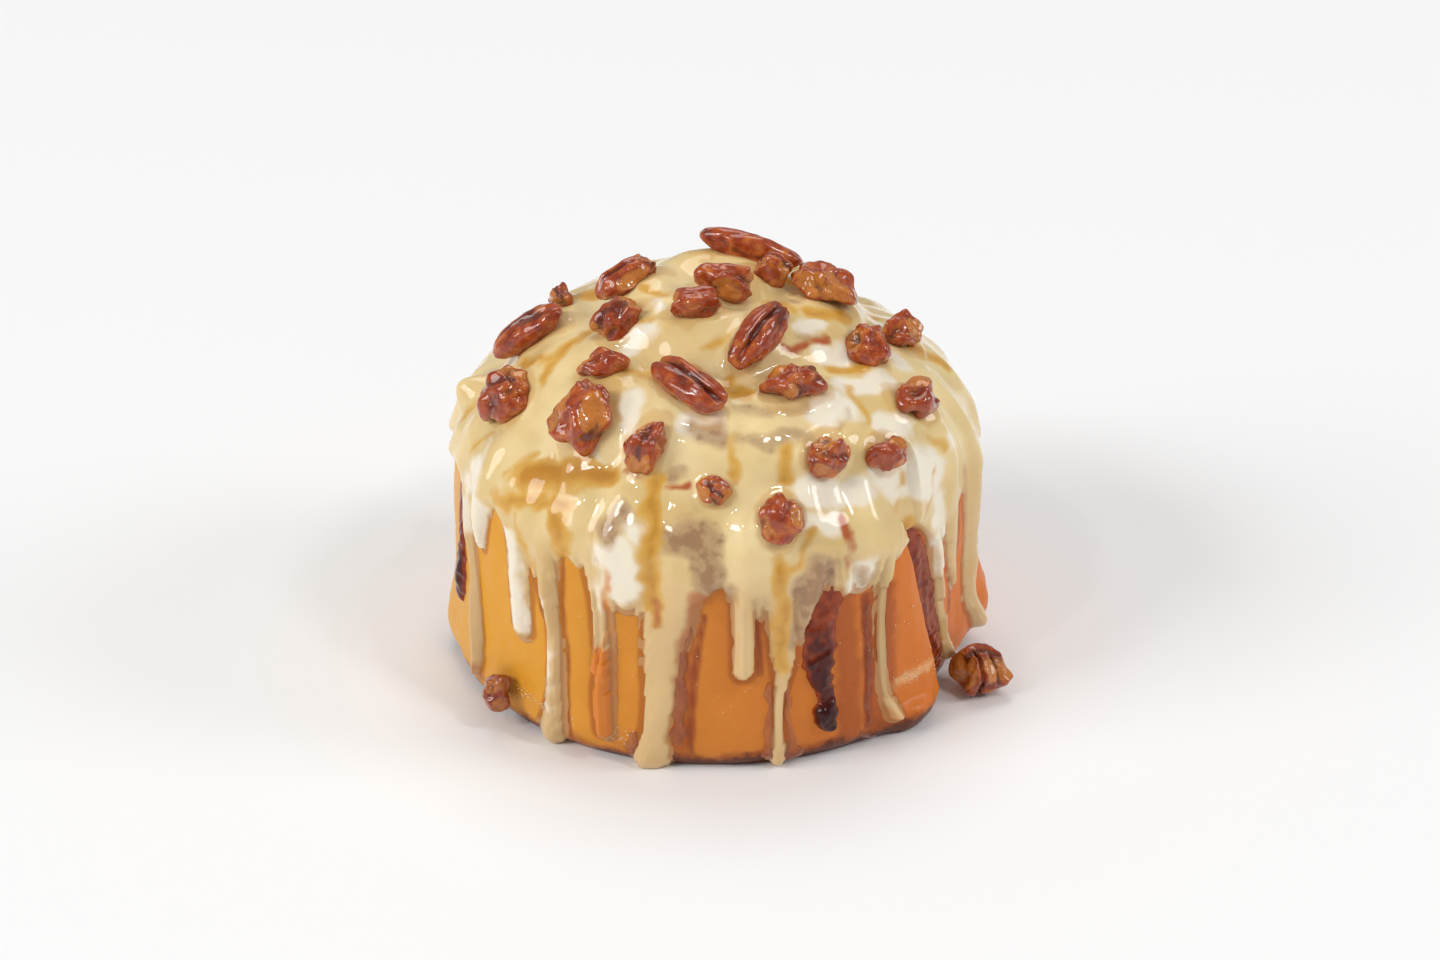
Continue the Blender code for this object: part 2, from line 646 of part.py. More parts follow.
# Lifts the points of a piece until they are clear of the surfaces that it lies on
def keep_clear(bm, trees, out):
    for vert in bm.verts:
        for tree in trees:
            hit, normal, _, reach = tree.ray_cast(vert.co + out * DOME_LENGTH, -out)
            if hit is not None:
                room = PECAN_GAP / max(normal.dot(out), 0.4)
                vert.co += out * max(DOME_LENGTH + room - reach, 0.0)


def surface_tree(obj):
    bm = bmesh.new()
    bm.from_mesh(obj.data)
    tree = BVHTree.FromBMesh(bm)
    bm.free()
    return tree


# Where a pecan lies: its middle, then the directions of its length, width and height
def pecan_frame(angle, distance, turn, height):
    base = on_dough(angle, distance, GAP + ICING_THICKNESS)
    step = 2 * MM
    down = (on_dough(angle, distance + step) - on_dough(angle, distance - step)).normalized()
    turn_step = math.degrees(step / max(side_at(distance)[1], step))
    across = on_dough(angle + turn_step, distance) - on_dough(angle - turn_step, distance)
    across.normalize()
    out = across.cross(-down).normalized()
    heading = Matrix.Rotation(math.radians(turn), 3, out) @ across
    middle = base + out * height * MM * (0.5 - PECAN_SINK)
    return middle, heading, out.cross(heading), out


def place_piece(bm, middle, heading, side, out):
    turned = Matrix((heading, side, out)).transposed().to_4x4()
    bm.transform(Matrix.Translation(middle) @ turned)


def make_pecans(dough, icing):
    trees = [surface_tree(dough), surface_tree(icing)]
    pecans = []
    for i, entry in enumerate(PECANS):
        kind, angle, distance, turn, length, width, height, lobes, lobe_depth = entry
        bm = pecan_mesh(kind, length, width, height, lobes, lobe_depth, PECAN_SEED + i)
        middle, heading, side, out = pecan_frame(angle, distance * MM, turn, height)
        place_piece(bm, middle, heading, side, out)
        keep_clear(bm, trees, out)
        pecans.append(add_object(f"pecan_{i + 1:02d}", bm, "pecan"))
    middle, turn, sizes = FALLEN_PECAN
    bm = pecan_mesh("piece", *sizes, 0, 0.0, PECAN_SEED)
    heading = Matrix.Rotation(math.radians(turn), 3, "Z") @ Vector((1, 0, 0))
    up = Vector((0, 0, 1))
    place_piece(bm, middle, heading, up.cross(heading), up)
    keep_clear(bm, trees, Vector((middle.x, middle.y, 0)).normalized())
    for vert in bm.verts:
        vert.co.z = max(vert.co.z, GAP)
    pecans.append(add_object("pecan_at_foot", bm, "pecan"))
    return pecans


def main():
    for obj in list(bpy.data.objects):
        bpy.data.objects.remove(obj)
    dough = make_dough()
    make_filling()
    icing = make_icing()
    make_pecans(dough, icing)


main()
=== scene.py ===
import json
import math
import random

import bmesh
import bpy
import numpy as np
from mathutils import Matrix, Vector
from mathutils.geometry import interpolate_bezier

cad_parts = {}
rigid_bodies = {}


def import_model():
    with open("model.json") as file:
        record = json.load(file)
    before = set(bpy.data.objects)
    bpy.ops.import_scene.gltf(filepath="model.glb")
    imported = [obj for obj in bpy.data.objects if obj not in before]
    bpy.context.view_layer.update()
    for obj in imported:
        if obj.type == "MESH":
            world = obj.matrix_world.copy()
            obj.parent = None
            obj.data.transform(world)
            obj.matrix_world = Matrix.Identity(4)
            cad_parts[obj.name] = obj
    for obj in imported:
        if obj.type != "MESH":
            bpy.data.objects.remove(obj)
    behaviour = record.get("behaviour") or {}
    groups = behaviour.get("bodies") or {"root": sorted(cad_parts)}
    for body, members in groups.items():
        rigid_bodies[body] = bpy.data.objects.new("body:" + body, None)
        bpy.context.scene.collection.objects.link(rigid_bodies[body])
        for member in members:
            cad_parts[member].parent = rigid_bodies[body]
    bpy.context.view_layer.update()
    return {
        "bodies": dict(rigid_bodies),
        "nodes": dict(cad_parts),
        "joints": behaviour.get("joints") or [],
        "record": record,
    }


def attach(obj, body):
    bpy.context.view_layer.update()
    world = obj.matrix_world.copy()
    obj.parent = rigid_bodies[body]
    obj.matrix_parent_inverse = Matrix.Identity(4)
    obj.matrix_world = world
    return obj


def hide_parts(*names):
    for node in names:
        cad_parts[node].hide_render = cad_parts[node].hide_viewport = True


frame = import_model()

mm = 0.001

# The camera stands where the photograph was taken from
photo = dict(
    width=1440, height=960, place=(1.12, -664.1, 371.2), down=26.5, lens=84.74, sensor=36.0,
    nearest=560, farthest=860, step=0.25, skin=1.2,
)

bun = dict(
    outline=(
        (0, 88.6), (14, 86.6), (27.5, 80.4), (39, 73.3), (49.5, 63.8), (55.2, 52.5),
        (56.8, 42), (56.8, 25), (57.0, 9), (56, 3), (53.5, 0),
    ),
    wallRadius=57.0,
    coilFront=50.0, coilPitch=20.0, coilTailRise=1.5, coilInner=5.5,
    grooveDepth=2.6, grooveWidth=4.5, grooveFadeStart=61.0, grooveFadeLength=21.6,
    seamAngle=50.3, seamHeight=27.0, seamLean=0.31, seamTop=62.0, seamFull=45.0,
    stepDepth=4.0, stepAngle=0.9, stepFade=45.0, lip=0.8, lipBack=3.0, lipReach=4.0,
    bulges=(
        (-90, 7, 2.6, 11, 9, 6), (89, 10, 4.2, 8, 11, 5),
        (-20, 12, 0.6, 20, 8, 8), (178, 14, 1.8, 16, 11, 9), (47, 6, 3.3, 6.5, 1.4, 8),
    ),
)


def sideTable(outline, pieces=40):
    knots = [Vector(knot) for knot in outline]
    headings = [Vector((1, 0))]
    headings += [(knots[i + 1] - knots[i - 1]).normalized() for i in range(1, len(knots) - 1)]
    headings.append((knots[-1] - knots[-2]).normalized())
    points = [knots[0]]
    for i in range(len(knots) - 1):
        reach = (knots[i + 1] - knots[i]).length / 3
        handles = knots[i] + headings[i] * reach, knots[i + 1] - headings[i + 1] * reach
        points += interpolate_bezier(knots[i], *handles, knots[i + 1], pieces)[1:]
    points = np.array([tuple(point) for point in points])
    heading = np.gradient(points, axis=0)
    heading /= np.linalg.norm(heading, axis=1)[:, None]
    steps = np.linalg.norm(np.diff(points, axis=0), axis=1)
    distance = np.concatenate([[0], np.cumsum(steps)])
    return np.column_stack([distance, points, -heading[:, 1], heading[:, 0]])


side = sideTable(bun["outline"])
foot = side[-1, 0]


def sideAt(distance):
    return [np.interp(distance, side[:, 0], side[:, column]) for column in (1, 2, 3, 4)]


def distanceAtHeight(height):
    return np.interp(-np.asarray(height, float), -side[:, 2], side[:, 0])


def smooth(value):
    value = np.clip(value, 0, 1)
    return value * value * (3 - 2 * value)


def hump(offset, reach):
    return np.exp(-((offset / reach) ** 2))


def wrapped(angle):
    return (angle + 180) % 360 - 180


def coilRadius(unwound):
    rise = bun["coilTailRise"] * np.clip(unwound / bun["seamAngle"], 0, 1) ** 2
    return bun["coilFront"] + bun["coilPitch"] * unwound / 360 + rise


def seamAngleAt(height):
    return bun["seamAngle"] + (bun["seamHeight"] - height) * bun["seamLean"]


def coilOffset(angle, radius):  # how far a point lies from the nearest line between layers
    unwound = wrapped(angle)
    unwound = np.where(unwound > bun["seamAngle"], unwound - 360, unwound)
    nearest = np.full(np.shape(radius), bun["coilPitch"])
    for turn in range(4):
        line = coilRadius(unwound - 360 * turn)
        nearest = np.where(line > 0, np.minimum(nearest, abs(radius - line)), nearest)
    return nearest


def relief(angle, distance):  # coil grooves, bulges, and the step and lip at the tail's seam
    radius, height, _, _ = sideAt(distance)
    onDome = 1 - smooth((distance - bun["grooveFadeStart"]) / bun["grooveFadeLength"])
    out = -bun["grooveDepth"] * hump(coilOffset(angle, radius), bun["grooveWidth"]) * onDome
    for middle, level, size, reachRound, reachUp, reachDown in bun["bulges"]:
        reach = np.where(height > level, reachUp, reachDown)
        out = out + size * hump(wrapped(angle - middle), reachRound) * hump(height - level, reach)
    past = wrapped(angle - seamAngleAt(height))
    amount = 1 - smooth((height - bun["seamFull"]) / (bun["seamTop"] - bun["seamFull"]))
    step = (1 - smooth(past / bun["stepFade"])) * np.clip(past / bun["stepAngle"], 0, 1)
    lip = np.where(past > 0, 0, hump(past + bun["lipBack"], bun["lipReach"]))
    return out + amount * (bun["lip"] * lip - bun["stepDepth"] * step)


def onSide(angle, distance, out):
    radius, height, acrossNormal, upNormal = sideAt(distance)
    turn = np.radians(angle)
    radius = radius + acrossNormal * out
    return np.stack([radius * np.sin(turn), -radius * np.cos(turn), height + upNormal * out], -1)


def onDough(angle, distance, off=0.0):
    return onSide(angle, distance, relief(angle, distance) + off)


def bunPlaces(points):  # angle and distance of points near the bun's surface
    angle = np.degrees(np.arctan2(points[:, 0], -points[:, 1]))
    seen = np.column_stack([np.hypot(points[:, 0], points[:, 1]), points[:, 2]])
    nearest = []
    for chunk in np.array_split(seen, len(seen) // 4000 + 1):
        gaps = ((chunk[:, None, :] - side[None, :, 1:3]) ** 2).sum(2)
        nearest.append(gaps.argmin(1))
    return angle, side[np.concatenate(nearest), 0]


def seenOnBun(spots):  # the bun's angle and distance under pixels of the photograph
    spots = np.asarray(spots, float)
    tilt = math.radians(photo["down"])
    ahead = np.array([0, math.cos(tilt), -math.sin(tilt)])
    up = np.array([0, math.sin(tilt), math.cos(tilt)])
    focal = photo["lens"] / photo["sensor"] * photo["width"]
    ray = (
        ahead
        + np.outer((spots[:, 0] - photo["width"] / 2) / focal, (1, 0, 0))
        + np.outer((photo["height"] / 2 - spots[:, 1]) / focal, up)
    )
    depths = np.arange(photo["nearest"], photo["farthest"], photo["step"])
    points = np.array(photo["place"]) + ray[:, None, :] * depths[None, :, None]
    radius = np.hypot(points[..., 0], points[..., 1])
    outer = side[::-1, 1] + photo["skin"]
    past = radius - np.interp(points[..., 2], side[::-1, 2], outer, right=0)
    hit = np.where((past < 0).any(1), (past < 0).argmax(1), past.argmin(1))
    return bunPlaces(points[np.arange(len(spots)), hit])


def ripple(points, size, seed, count=16):  # smooth random swell of about unit height
    draw = np.random.default_rng(seed)
    heading = draw.normal(size=(count, 3))
    heading /= np.linalg.norm(heading, axis=1)[:, None]
    rate = math.tau / size * draw.uniform(0.6, 1.4, count)
    phase = draw.uniform(0, math.tau, count)
    waves = np.cos(points @ (heading * rate[:, None]).T + phase)
    return waves.sum(1) * math.sqrt(2 / count)


def throughStations(stations, steps=6):  # a smooth line through its stations
    stations = np.asarray(stations, float)
    ends = np.vstack([stations[:1], stations, stations[-1:]])
    line = []
    for i in range(len(stations) - 1):
        a, b, c, d = ends[i:i + 4]
        for t in np.linspace(0, 1, steps, endpoint=False):
            line.append(
                (2 * b + (c - a) * t + (2 * a - 5 * b + 4 * c - d) * t ** 2
                 + (3 * b - a - 3 * c + d) * t ** 3) / 2
            )
    line.append(stations[-1])
    return np.array(line)


def laidStroke(stations):  # stations of angle, distance, width and more, as a line in space
    line = throughStations(stations)
    places = onSide(line[:, 0], line[:, 1], 0)
    return np.column_stack([places, line[:, 2] / 2, line[:, 3:]])


def photoStroke(width, *spots):
    angle, distance = seenOnBun(spots)
    widths = np.full(len(spots), width) if np.isscalar(width) else np.array(width, float)
    return laidStroke(np.column_stack([angle, distance, widths]))


def photoStrokes(strokes):
    return [photoStroke(*stroke) for stroke in strokes]


def insideStroke(points, line, reach=5.0):  # depth inside a stroke, negative outside it
    depth = np.full(len(points), -reach)
    rest = np.zeros((len(points), line.shape[1] - 3))
    margin = reach + line[:, 3].max()
    low, high = line[:, :3].min(0) - margin, line[:, :3].max(0) + margin
    near = np.flatnonzero(((points > low) & (points < high)).all(1))
    spots = points[near]
    best, kept = np.full(len(near), -reach), np.zeros((len(near), line.shape[1] - 3))
    for start, end in zip(line, line[1:]):
        step = end[:3] - start[:3]
        share = np.clip((spots - start[:3]) @ step / max(step @ step, 1e-9), 0, 1)
        gap = np.linalg.norm(spots - start[:3] - share[:, None] * step, axis=1)
        values = start[3:] + share[:, None] * (end[3:] - start[3:])
        deep = values[:, 0] - gap
        better = deep > best
        best[better] = deep[better]
        kept[better] = values[better]
    depth[near], rest[near] = best, kept
    return depth, rest


def joined(first, second, ease):  # the deeper of two depths, with a fillet between them
    overlap = np.maximum(ease - abs(first - second), 0)
    return np.maximum(first, second) + overlap ** 2 / (4 * ease)


def strokesDepth(points, lines, ease=0.8):
    depth = np.full(len(points), -5.0)
    for line in lines:
        depth = joined(depth, insideStroke(points, line)[0], ease)
    return depth


def placed(name, data):
    item = bpy.data.objects.new(name, data)
    bpy.context.scene.collection.objects.link(item)
    return item


def newObject(name, mesh, nodes, material):
    piece = placed(name, mesh)
    mesh.materials.clear()
    mesh.materials.append(material)
    mesh.shade_smooth()
    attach(piece, "root")
    if nodes:
        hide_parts(*nodes)
    return piece


def meshFrom(bm, name):
    mesh = bpy.data.meshes.new(name)
    bm.to_mesh(mesh)
    bm.free()
    return mesh


def only(items, kind):
    return [item for item in items if isinstance(item, kind)]


def meshPoints(mesh):
    points = np.empty(len(mesh.vertices) * 3)
    mesh.vertices.foreach_get("co", points)
    return points.reshape(-1, 3)


def setPoints(mesh, points):
    mesh.vertices.foreach_set("co", np.ascontiguousarray(points, float).ravel())
    mesh.update()


def setValues(mesh, **fields):
    for name, values in fields.items():
        layer = mesh.attributes.new(name, "FLOAT", "POINT")
        layer.data.foreach_set("value", np.ascontiguousarray(values, np.float32))


def evened(values, pairs):  # heights drawn towards their neighbours', so no cell shows
    first, second = np.concatenate([pairs, pairs[:, ::-1]]).T
    count = np.bincount(first, minlength=len(values))
    near = np.bincount(first, weights=values[second], minlength=len(values)) / count
    return 0.5 * values + 0.5 * near


# A poured thing is a cloth, cut off and capped at a depth, with a back of thinned faces
cloth = dict(cut=-0.9, capGap=0.1, thinning=4)


def pour(name, spacing, field, underside, tints=None, rows=None, patch=None, lean=None):
    # a grid laid over the bun like a cloth, raised to a field of heights and closed below
    bm = bmesh.new()
    if patch:
        left, right, top, bottom = patch
        columns = int(math.radians(right - left) * bun["wallRadius"] / spacing)
        bmesh.ops.create_grid(
            bm, x_segments=columns, y_segments=int((bottom - top) / spacing), size=1,
        )
    else:
        flatRadii, distances = np.array(rows).T
        ring = flatRadii[1]
        segments = int(2 * ring / spacing)
        bmesh.ops.create_grid(bm, x_segments=segments, y_segments=segments, size=ring)
        rim = [edge for edge in bm.edges if edge.is_boundary]
        while ring < flatRadii[-1]:  # straight columns down the wall
            grown = bmesh.ops.extrude_edge_only(bm, edges=rim)["geom"]
            rim = [edge for edge in only(grown, bmesh.types.BMEdge) if edge.is_boundary]
            wider = (ring + spacing) / ring
            bmesh.ops.scale(bm, vec=(wider, wider, 1), verts=only(grown, bmesh.types.BMVert))
            ring += spacing
    heightLayer = bm.verts.layers.float.new("height")

    def gridPlaces(flat):
        if patch:
            angle = left + (flat[:, 0] + 1) / 2 * (right - left)
            return angle, bottom - (flat[:, 1] + 1) / 2 * (bottom - top)
        x, y = flat[:, 0], flat[:, 1]
        ring = np.maximum(np.maximum(abs(x), abs(y)), 1e-9)  # square rings are laid as round ones
        lengthwise = np.where(y > 0, 180 - 45 * x / ring, 45 * x / ring)
        angle = np.where(abs(x) > abs(y), np.sign(x) * (90 + 45 * y / ring), lengthwise)
        distance = np.interp(ring, flatRadii, distances)
        return (lean(angle, distance) if lean else angle), distance

    flat = np.array([vert.co[:2] for vert in bm.verts])
    bm.verts.index_update()
    pairs = np.array([(edge.verts[0].index, edge.verts[1].index) for edge in bm.edges])
    heights = evened(field(*gridPlaces(flat)), pairs)
    for vert, height in zip(bm.verts, heights.tolist()):
        vert[heightLayer] = height
    cut = cloth["cut"]
    spare = [face for face in bm.faces if max(v[heightLayer] for v in face.verts) < cut]
    bmesh.ops.delete(bm, geom=spare, context="FACES")
    for vert in bm.verts:
        vert[heightLayer] = max(vert[heightLayer], cut)
    raised = bmesh.ops.extrude_face_region(bm, geom=bm.faces[:])["geom"]
    bmesh.ops.translate(bm, verts=only(raised, bmesh.types.BMVert), vec=(0, 0, 1))
    bmesh.ops.recalc_face_normals(bm, faces=bm.faces)
    hidden = [
        vert for vert in bm.verts
        if vert.co.z < 0.5 and all(edge.other_vert(vert).co.z < 0.5 for edge in vert.link_edges)
    ]
    bmesh.ops.unsubdivide(bm, verts=hidden, iterations=cloth["thinning"])  # unseen, needs few faces
    mesh = meshFrom(bm, name)
    flat = meshPoints(mesh)
    angle, distance = gridPlaces(flat)
    isTop = flat[:, 2] > 0.5
    heights = np.empty(len(flat))
    mesh.attributes["height"].data.foreach_get("value", heights)
    off = np.where(isTop, heights, np.minimum(underside, heights - cloth["capGap"]))
    points = onDough(angle, distance, off)
    points[:, 2] = np.maximum(points[:, 2], 0)
    setPoints(mesh, points * mm)
    if tints:
        setValues(mesh, **tints(angle, distance))
    return mesh


def srgb(code):  # a hex colour as linear light
    values = [int(code[i:i + 2], 16) / 255 for i in (1, 3, 5)]
    return (*[v / 12.92 if v <= 0.04045 else ((v + 0.055) / 1.055) ** 2.4 for v in values], 1)


def addNode(tree, kind, inputs=None, **settings):
    made = tree.nodes.new(kind)
    for name, value in settings.items():
        setattr(made, name, value)
    for name, value in (inputs or {}).items():
        if isinstance(value, bpy.types.NodeSocket):
            tree.links.new(value, made.inputs[name])
        else:
            made.inputs[name].default_value = value
    return made


def newMaterial(name, **settings):
    material = bpy.data.materials.new(name)
    material.use_nodes = True
    tree = material.node_tree
    shader = tree.nodes["Principled BSDF"]
    for key, value in settings.items():
        shader.inputs[key].default_value = value
    place = addNode(tree, "ShaderNodeTexCoord").outputs["Object"]
    return material, tree, shader, place


def noise(tree, place, scale, detail, roughness=0.5):
    inputs = {"Vector": place, "Scale": scale, "Detail": detail, "Roughness": roughness}
    return addNode(tree, "ShaderNodeTexNoise", inputs).outputs["Fac"]


def valueOf(tree, name):
    return addNode(tree, "ShaderNodeAttribute", attribute_name=name).outputs["Fac"]


def summed(tree, first, second):
    return addNode(tree, "ShaderNodeMath", {0: first, 1: second}, operation="ADD").outputs[0]


def ranged(tree, value, start, end, low=0.0, high=1.0, easing="SMOOTHSTEP"):
    inputs = {"Value": value, "From Min": start, "From Max": end, "To Min": low, "To Max": high}
    return addNode(tree, "ShaderNodeMapRange", inputs, interpolation_type=easing).outputs[0]


def mixed(tree, share, first, second):
    inputs = {0: share, 6: first, 7: second}
    return addNode(tree, "ShaderNodeMix", inputs, data_type="RGBA").outputs[2]


def clouded(tree, cloud, *stops):  # a colour that drifts between its stops
    tones = addNode(tree, "ShaderNodeValToRGB", {"Fac": cloud})
    elements = tones.color_ramp.elements
    while len(elements) < len(stops):
        elements.new(0.5)
    for element, (position, tint) in zip(elements, stops):
        element.position, element.color = position, srgb(tint)
    return tones.outputs["Color"]


def bumped(tree, shader, height, strength, distance):
    inputs = {"Strength": strength, "Distance": distance, "Height": height}
    tree.links.new(addNode(tree, "ShaderNodeBump", inputs).outputs[0], shader.inputs["Normal"])


def stained(tree, place, colour, *stains):
    # lays stains over a colour: each is an attribute in mm, the level and softness of its edge,
    # how far the edge strays and the size of its wander, a tint, and how strongly it covers
    for name, level, soft, stray, size, tint, strength in stains:
        cloud = noise(tree, place, 1 / (size * mm), 3.0)
        inputs = {0: cloud, 1: 4 * stray, 2: -2 * stray}
        wander = addNode(tree, "ShaderNodeMath", inputs, operation="MULTIPLY_ADD").outputs[0]
        edge = summed(tree, valueOf(tree, name), wander)
        share = ranged(tree, edge, level - soft, level + soft, 0, strength)
        colour = mixed(tree, share, colour, srgb(tint))
    return colour


# Baked dough: soft golden crust, browned at the foot, with fine pores
dough = dict(
    columns=420, domeRow=2.4, wallRow=0.8, domeLength=72, bendHeight=9, bendRows=16,
    crowding=0.9, crowdReach=9, leanReach=40,
    slotWidth=2.6, slotBelow=-1.5, slotAbove=3, slotLonger=15, sharpAngle=50,
    swell=0.14, swellSize=12, ripples=0.06, rippleSize=4, calmFoot=4, calmFrom=60, calmReach=10,
    # the extra browning below the seam's ledge is partly browned crust, partly painted shade under the
    # ledge
    browned=4.3, ledge=47, ledgeReach=8, ledgeBrowned=2.4, brownedStray=0.9,
    # the seam's dark band: partly syrup run out of the coil, partly painted shade in the corner of the
    # step at the tail
    seamStain=(
        (48, 48, 3.5), (50.5, 44, 6), (52.5, 40, 7), (54.5, 35, 8), (56.5, 30, 9), (58, 25, 9),
        (60, 20, 9), (62, 15, 9), (64, 10, 8), (65.5, 6, 6),
    ),
    # dark thin lines beside the drips and in the gaps between them: partly syrup stains, partly painted
    # shade cast by the drips
    syrup=(
        (1.1, (557, 520), (560, 566), (562, 620), (566, 680), (569, 738)),
        (1.0, (530, 568), (535, 596), (541, 620)),
        (1.3, (596, 540), (597, 562)),
        (1.6, (704, 620), (694, 680), (690, 756)),
        (1.4, (756, 606), (759, 640), (761, 676)),
        (2.4, (868, 600), (871, 660), (871, 728)),
        (1.3, (962, 507), (966, 560), (967, 613)),
    ),
    tanned=(
        (7.0, (846, 606), (850, 660), (852, 736)), (8.0, (884, 598), (886, 650), (884, 728)),
        (5.0, (684, 640), (680, 750)), (3.0, (797, 568), (792, 600), (800, 640)),
    ),
    # painted highlight: lighter strokes on the lit top of the seam's ledge and on the rounded foot at
    # the left
    pale=((3.6, (900, 685), (916, 674), (934, 660)), (1.6, (540, 712), (560, 724))),
)


def spunDisc(rows, columns, start):
    bm = bmesh.new()
    turn = math.radians(start)
    verts = [bm.verts.new((row * math.sin(turn), -row * math.cos(turn), 0)) for row in rows]
    edges = [bm.edges.new(pair) for pair in zip(verts, verts[1:])]
    bmesh.ops.spin(
        bm, geom=verts + edges, cent=(0, 0, 0), axis=(0, 0, 1), angle=math.tau,
        steps=columns, use_merge=True, use_duplicate=False,
    )
    bmesh.ops.remove_doubles(bm, verts=bm.verts, dist=0.001)
    return bm


def coilRibbon(width, lowest, overSurface, columns):  # the bent strip between two layers of dough
    def middle(unwound, height):
        outside = max(unwound - bun["seamAngle"] - 2, 0) * 0.5
        bend = smooth((unwound + 30) / 60)
        ends = []
        for level in (0.0, bun["seamTop"]):
            turn = math.radians(unwound + (seamAngleAt(level) - bun["seamAngle"]) * bend)
            ends.append(Vector((math.sin(turn), -math.cos(turn))) * (coilRadius(unwound) + outside))
        return ends[0].lerp(ends[1], height / bun["seamTop"])

    def place(column, edge, height):
        here = middle(columns[column], height)
        heading = (here - middle(columns[column] - 1, height)).normalized()
        return here + Vector((heading.y, -heading.x)) * edge * width / 2

    def surfaceHeight(column, edge):
        height = bun["seamFull"]
        radius = min(place(column, edge, height).length, 55)
        distance = np.interp(radius, side[:200, 1], side[:200, 0])
        for _ in range(12):
            spot = place(column, edge, height)
            top = onDough(math.degrees(math.atan2(spot.x, -spot.y)), distance, overSurface)
            distance = min(distance + spot.length - math.hypot(top[0], top[1]), distanceAtHeight(40))
            height = float(top[2])
        return height

    bm = bmesh.new()
    bmesh.ops.create_grid(bm, x_segments=len(columns) - 1, y_segments=1, size=1)
    raised = bmesh.ops.extrude_face_region(bm, geom=bm.faces[:])
    tops = {item for item in raised["geom"] if isinstance(item, bmesh.types.BMVert)}
    for vert in bm.verts:
        column, edge = round((vert.co.x + 1) / 2 * (len(columns) - 1)), vert.co.y
        height = surfaceHeight(column, edge) if vert in tops else lowest
        vert.co = (*place(column, edge, height), height)
    bmesh.ops.triangulate(bm, faces=bm.faces, quad_method="FIXED")
    bmesh.ops.recalc_face_normals(bm, faces=bm.faces)
    bmesh.ops.scale(bm, vec=(mm, mm, mm), verts=bm.verts)
    return bm


def coilColumns(step=6.0):
    last = (bun["coilInner"] - bun["coilFront"]) / bun["coilPitch"] * 360
    first = bun["seamAngle"] + 2
    return [first - step * i for i in range(math.ceil((first - last) / step))] + [last]


def makeDough(material):
    bend = float(distanceAtHeight(dough["bendHeight"]))
    rows = list(np.arange(0, dough["domeLength"], dough["domeRow"]))
    rows += list(np.arange(dough["domeLength"], bend, dough["wallRow"]))
    rows += list(np.linspace(bend, foot, dough["bendRows"]))
    bm = spunDisc(rows, dough["columns"], bun["seamAngle"] + 180 / dough["columns"])
    rim = [edge for edge in bm.edges if edge.is_boundary]
    bmesh.ops.contextual_create(bm, geom=rim)
    base = max(bm.faces, key=lambda face: len(face.verts))
    base.normal_flip()
    bmesh.ops.recalc_face_normals(bm, faces=bm.faces)
    mesh = meshFrom(bm, "baked_dough")
    x, y = meshPoints(mesh)[:, :2].T
    angle, distance = np.degrees(np.arctan2(x, -y)), np.hypot(x, y)
    past = wrapped(angle - bun["seamAngle"])
    lean = (seamAngleAt(sideAt(distance)[1]) - bun["seamAngle"]) * hump(past, dough["leanReach"])
    crowded = past * (1 - dough["crowding"] * hump(past, dough["crowdReach"]))
    angle = bun["seamAngle"] + crowded + lean
    points = onSide(angle, distance, 0)
    swell = dough["swell"] * ripple(points * (1, 1, 0.35), dough["swellSize"], 3)
    swell = swell + dough["ripples"] * ripple(points, dough["rippleSize"], 5)
    calm = smooth((foot - distance) / dough["calmFoot"])
    calm = calm * smooth((distance - dough["calmFrom"]) / dough["calmReach"])
    points = onDough(angle, distance, swell * calm)
    points[:, 2] = np.where(distance > foot - 0.1, 0, np.maximum(points[:, 2], 0.01))
    setPoints(mesh, points * mm)
    piece = newObject("baked_bread", mesh, ["bun_dough"], material)
    columns, longer = coilColumns(), dough["slotLonger"]
    columns = [columns[0] + longer] + columns + [columns[-1] - longer]
    slot = coilRibbon(dough["slotWidth"], dough["slotBelow"], dough["slotAbove"], columns)
    cutter = placed("coil_slot", meshFrom(slot, "coil_slot"))
    cut = piece.modifiers.new("coil", "BOOLEAN")
    cut.operation, cut.object, cut.solver = "DIFFERENCE", cutter, "EXACT"
    graph = bpy.context.evaluated_depsgraph_get()
    result = bpy.data.meshes.new_from_object(piece.evaluated_get(graph))
    piece.modifiers.clear()
    piece.data = result
    bpy.data.objects.remove(cutter)
    result.shade_smooth()
    result.set_sharp_from_angle(angle=math.radians(dough["sharpAngle"]))
    points = meshPoints(result) / mm
    angle, distance = bunPlaces(points)
    even = onSide(angle, distance, 0)
    # the seam's dark band is partly syrup, partly painted shade in the step at the tail
    stain = laidStroke(stationsAtHeights(dough["seamStain"]))
    drips = [laidStroke(stations) for stations, _, _ in pouredDrips()]
    onLedge = hump(wrapped(angle - dough["ledge"]), dough["ledgeReach"])
    # browned foot; near the seam's ledge the extra brown is partly painted shade under the ledge
    browning = dough["browned"] + dough["ledgeBrowned"] * onLedge - points[:, 2]
    setValues(
        result,
        # dark syrup lines and the seam's band: partly syrup stains, partly painted shade beside the
        # drips and in the step at the seam
        syrup=strokesDepth(even, photoStrokes(dough["syrup"]) + [stain], 0.4),
        # a darker rim on the crust just outside each icing drip: partly caramel seeped from the drip,
        # partly painted shade along the drip's edge
        seep=strokesDepth(even, drips, 0.4),
        browning=browning + dough["brownedStray"] * ripple(points, 8, 8),
        # partly the crust's own tone, partly painted light and shade: lighter and yellower on the left
        # side, darker and redder on the right side, as the key light falls from the left
        golden=-points[:, 0] / 10,
        ruddy=points[:, 0] / 10,
        # painted highlight on the lit top of the seam's ledge and on the rounded foot at the left
        pale=strokesDepth(even, photoStrokes(dough["pale"])),
        tanned=strokesDepth(even, photoStrokes(dough["tanned"])),
    )
    print("baked dough:", len(result.polygons), "faces")
    return piece


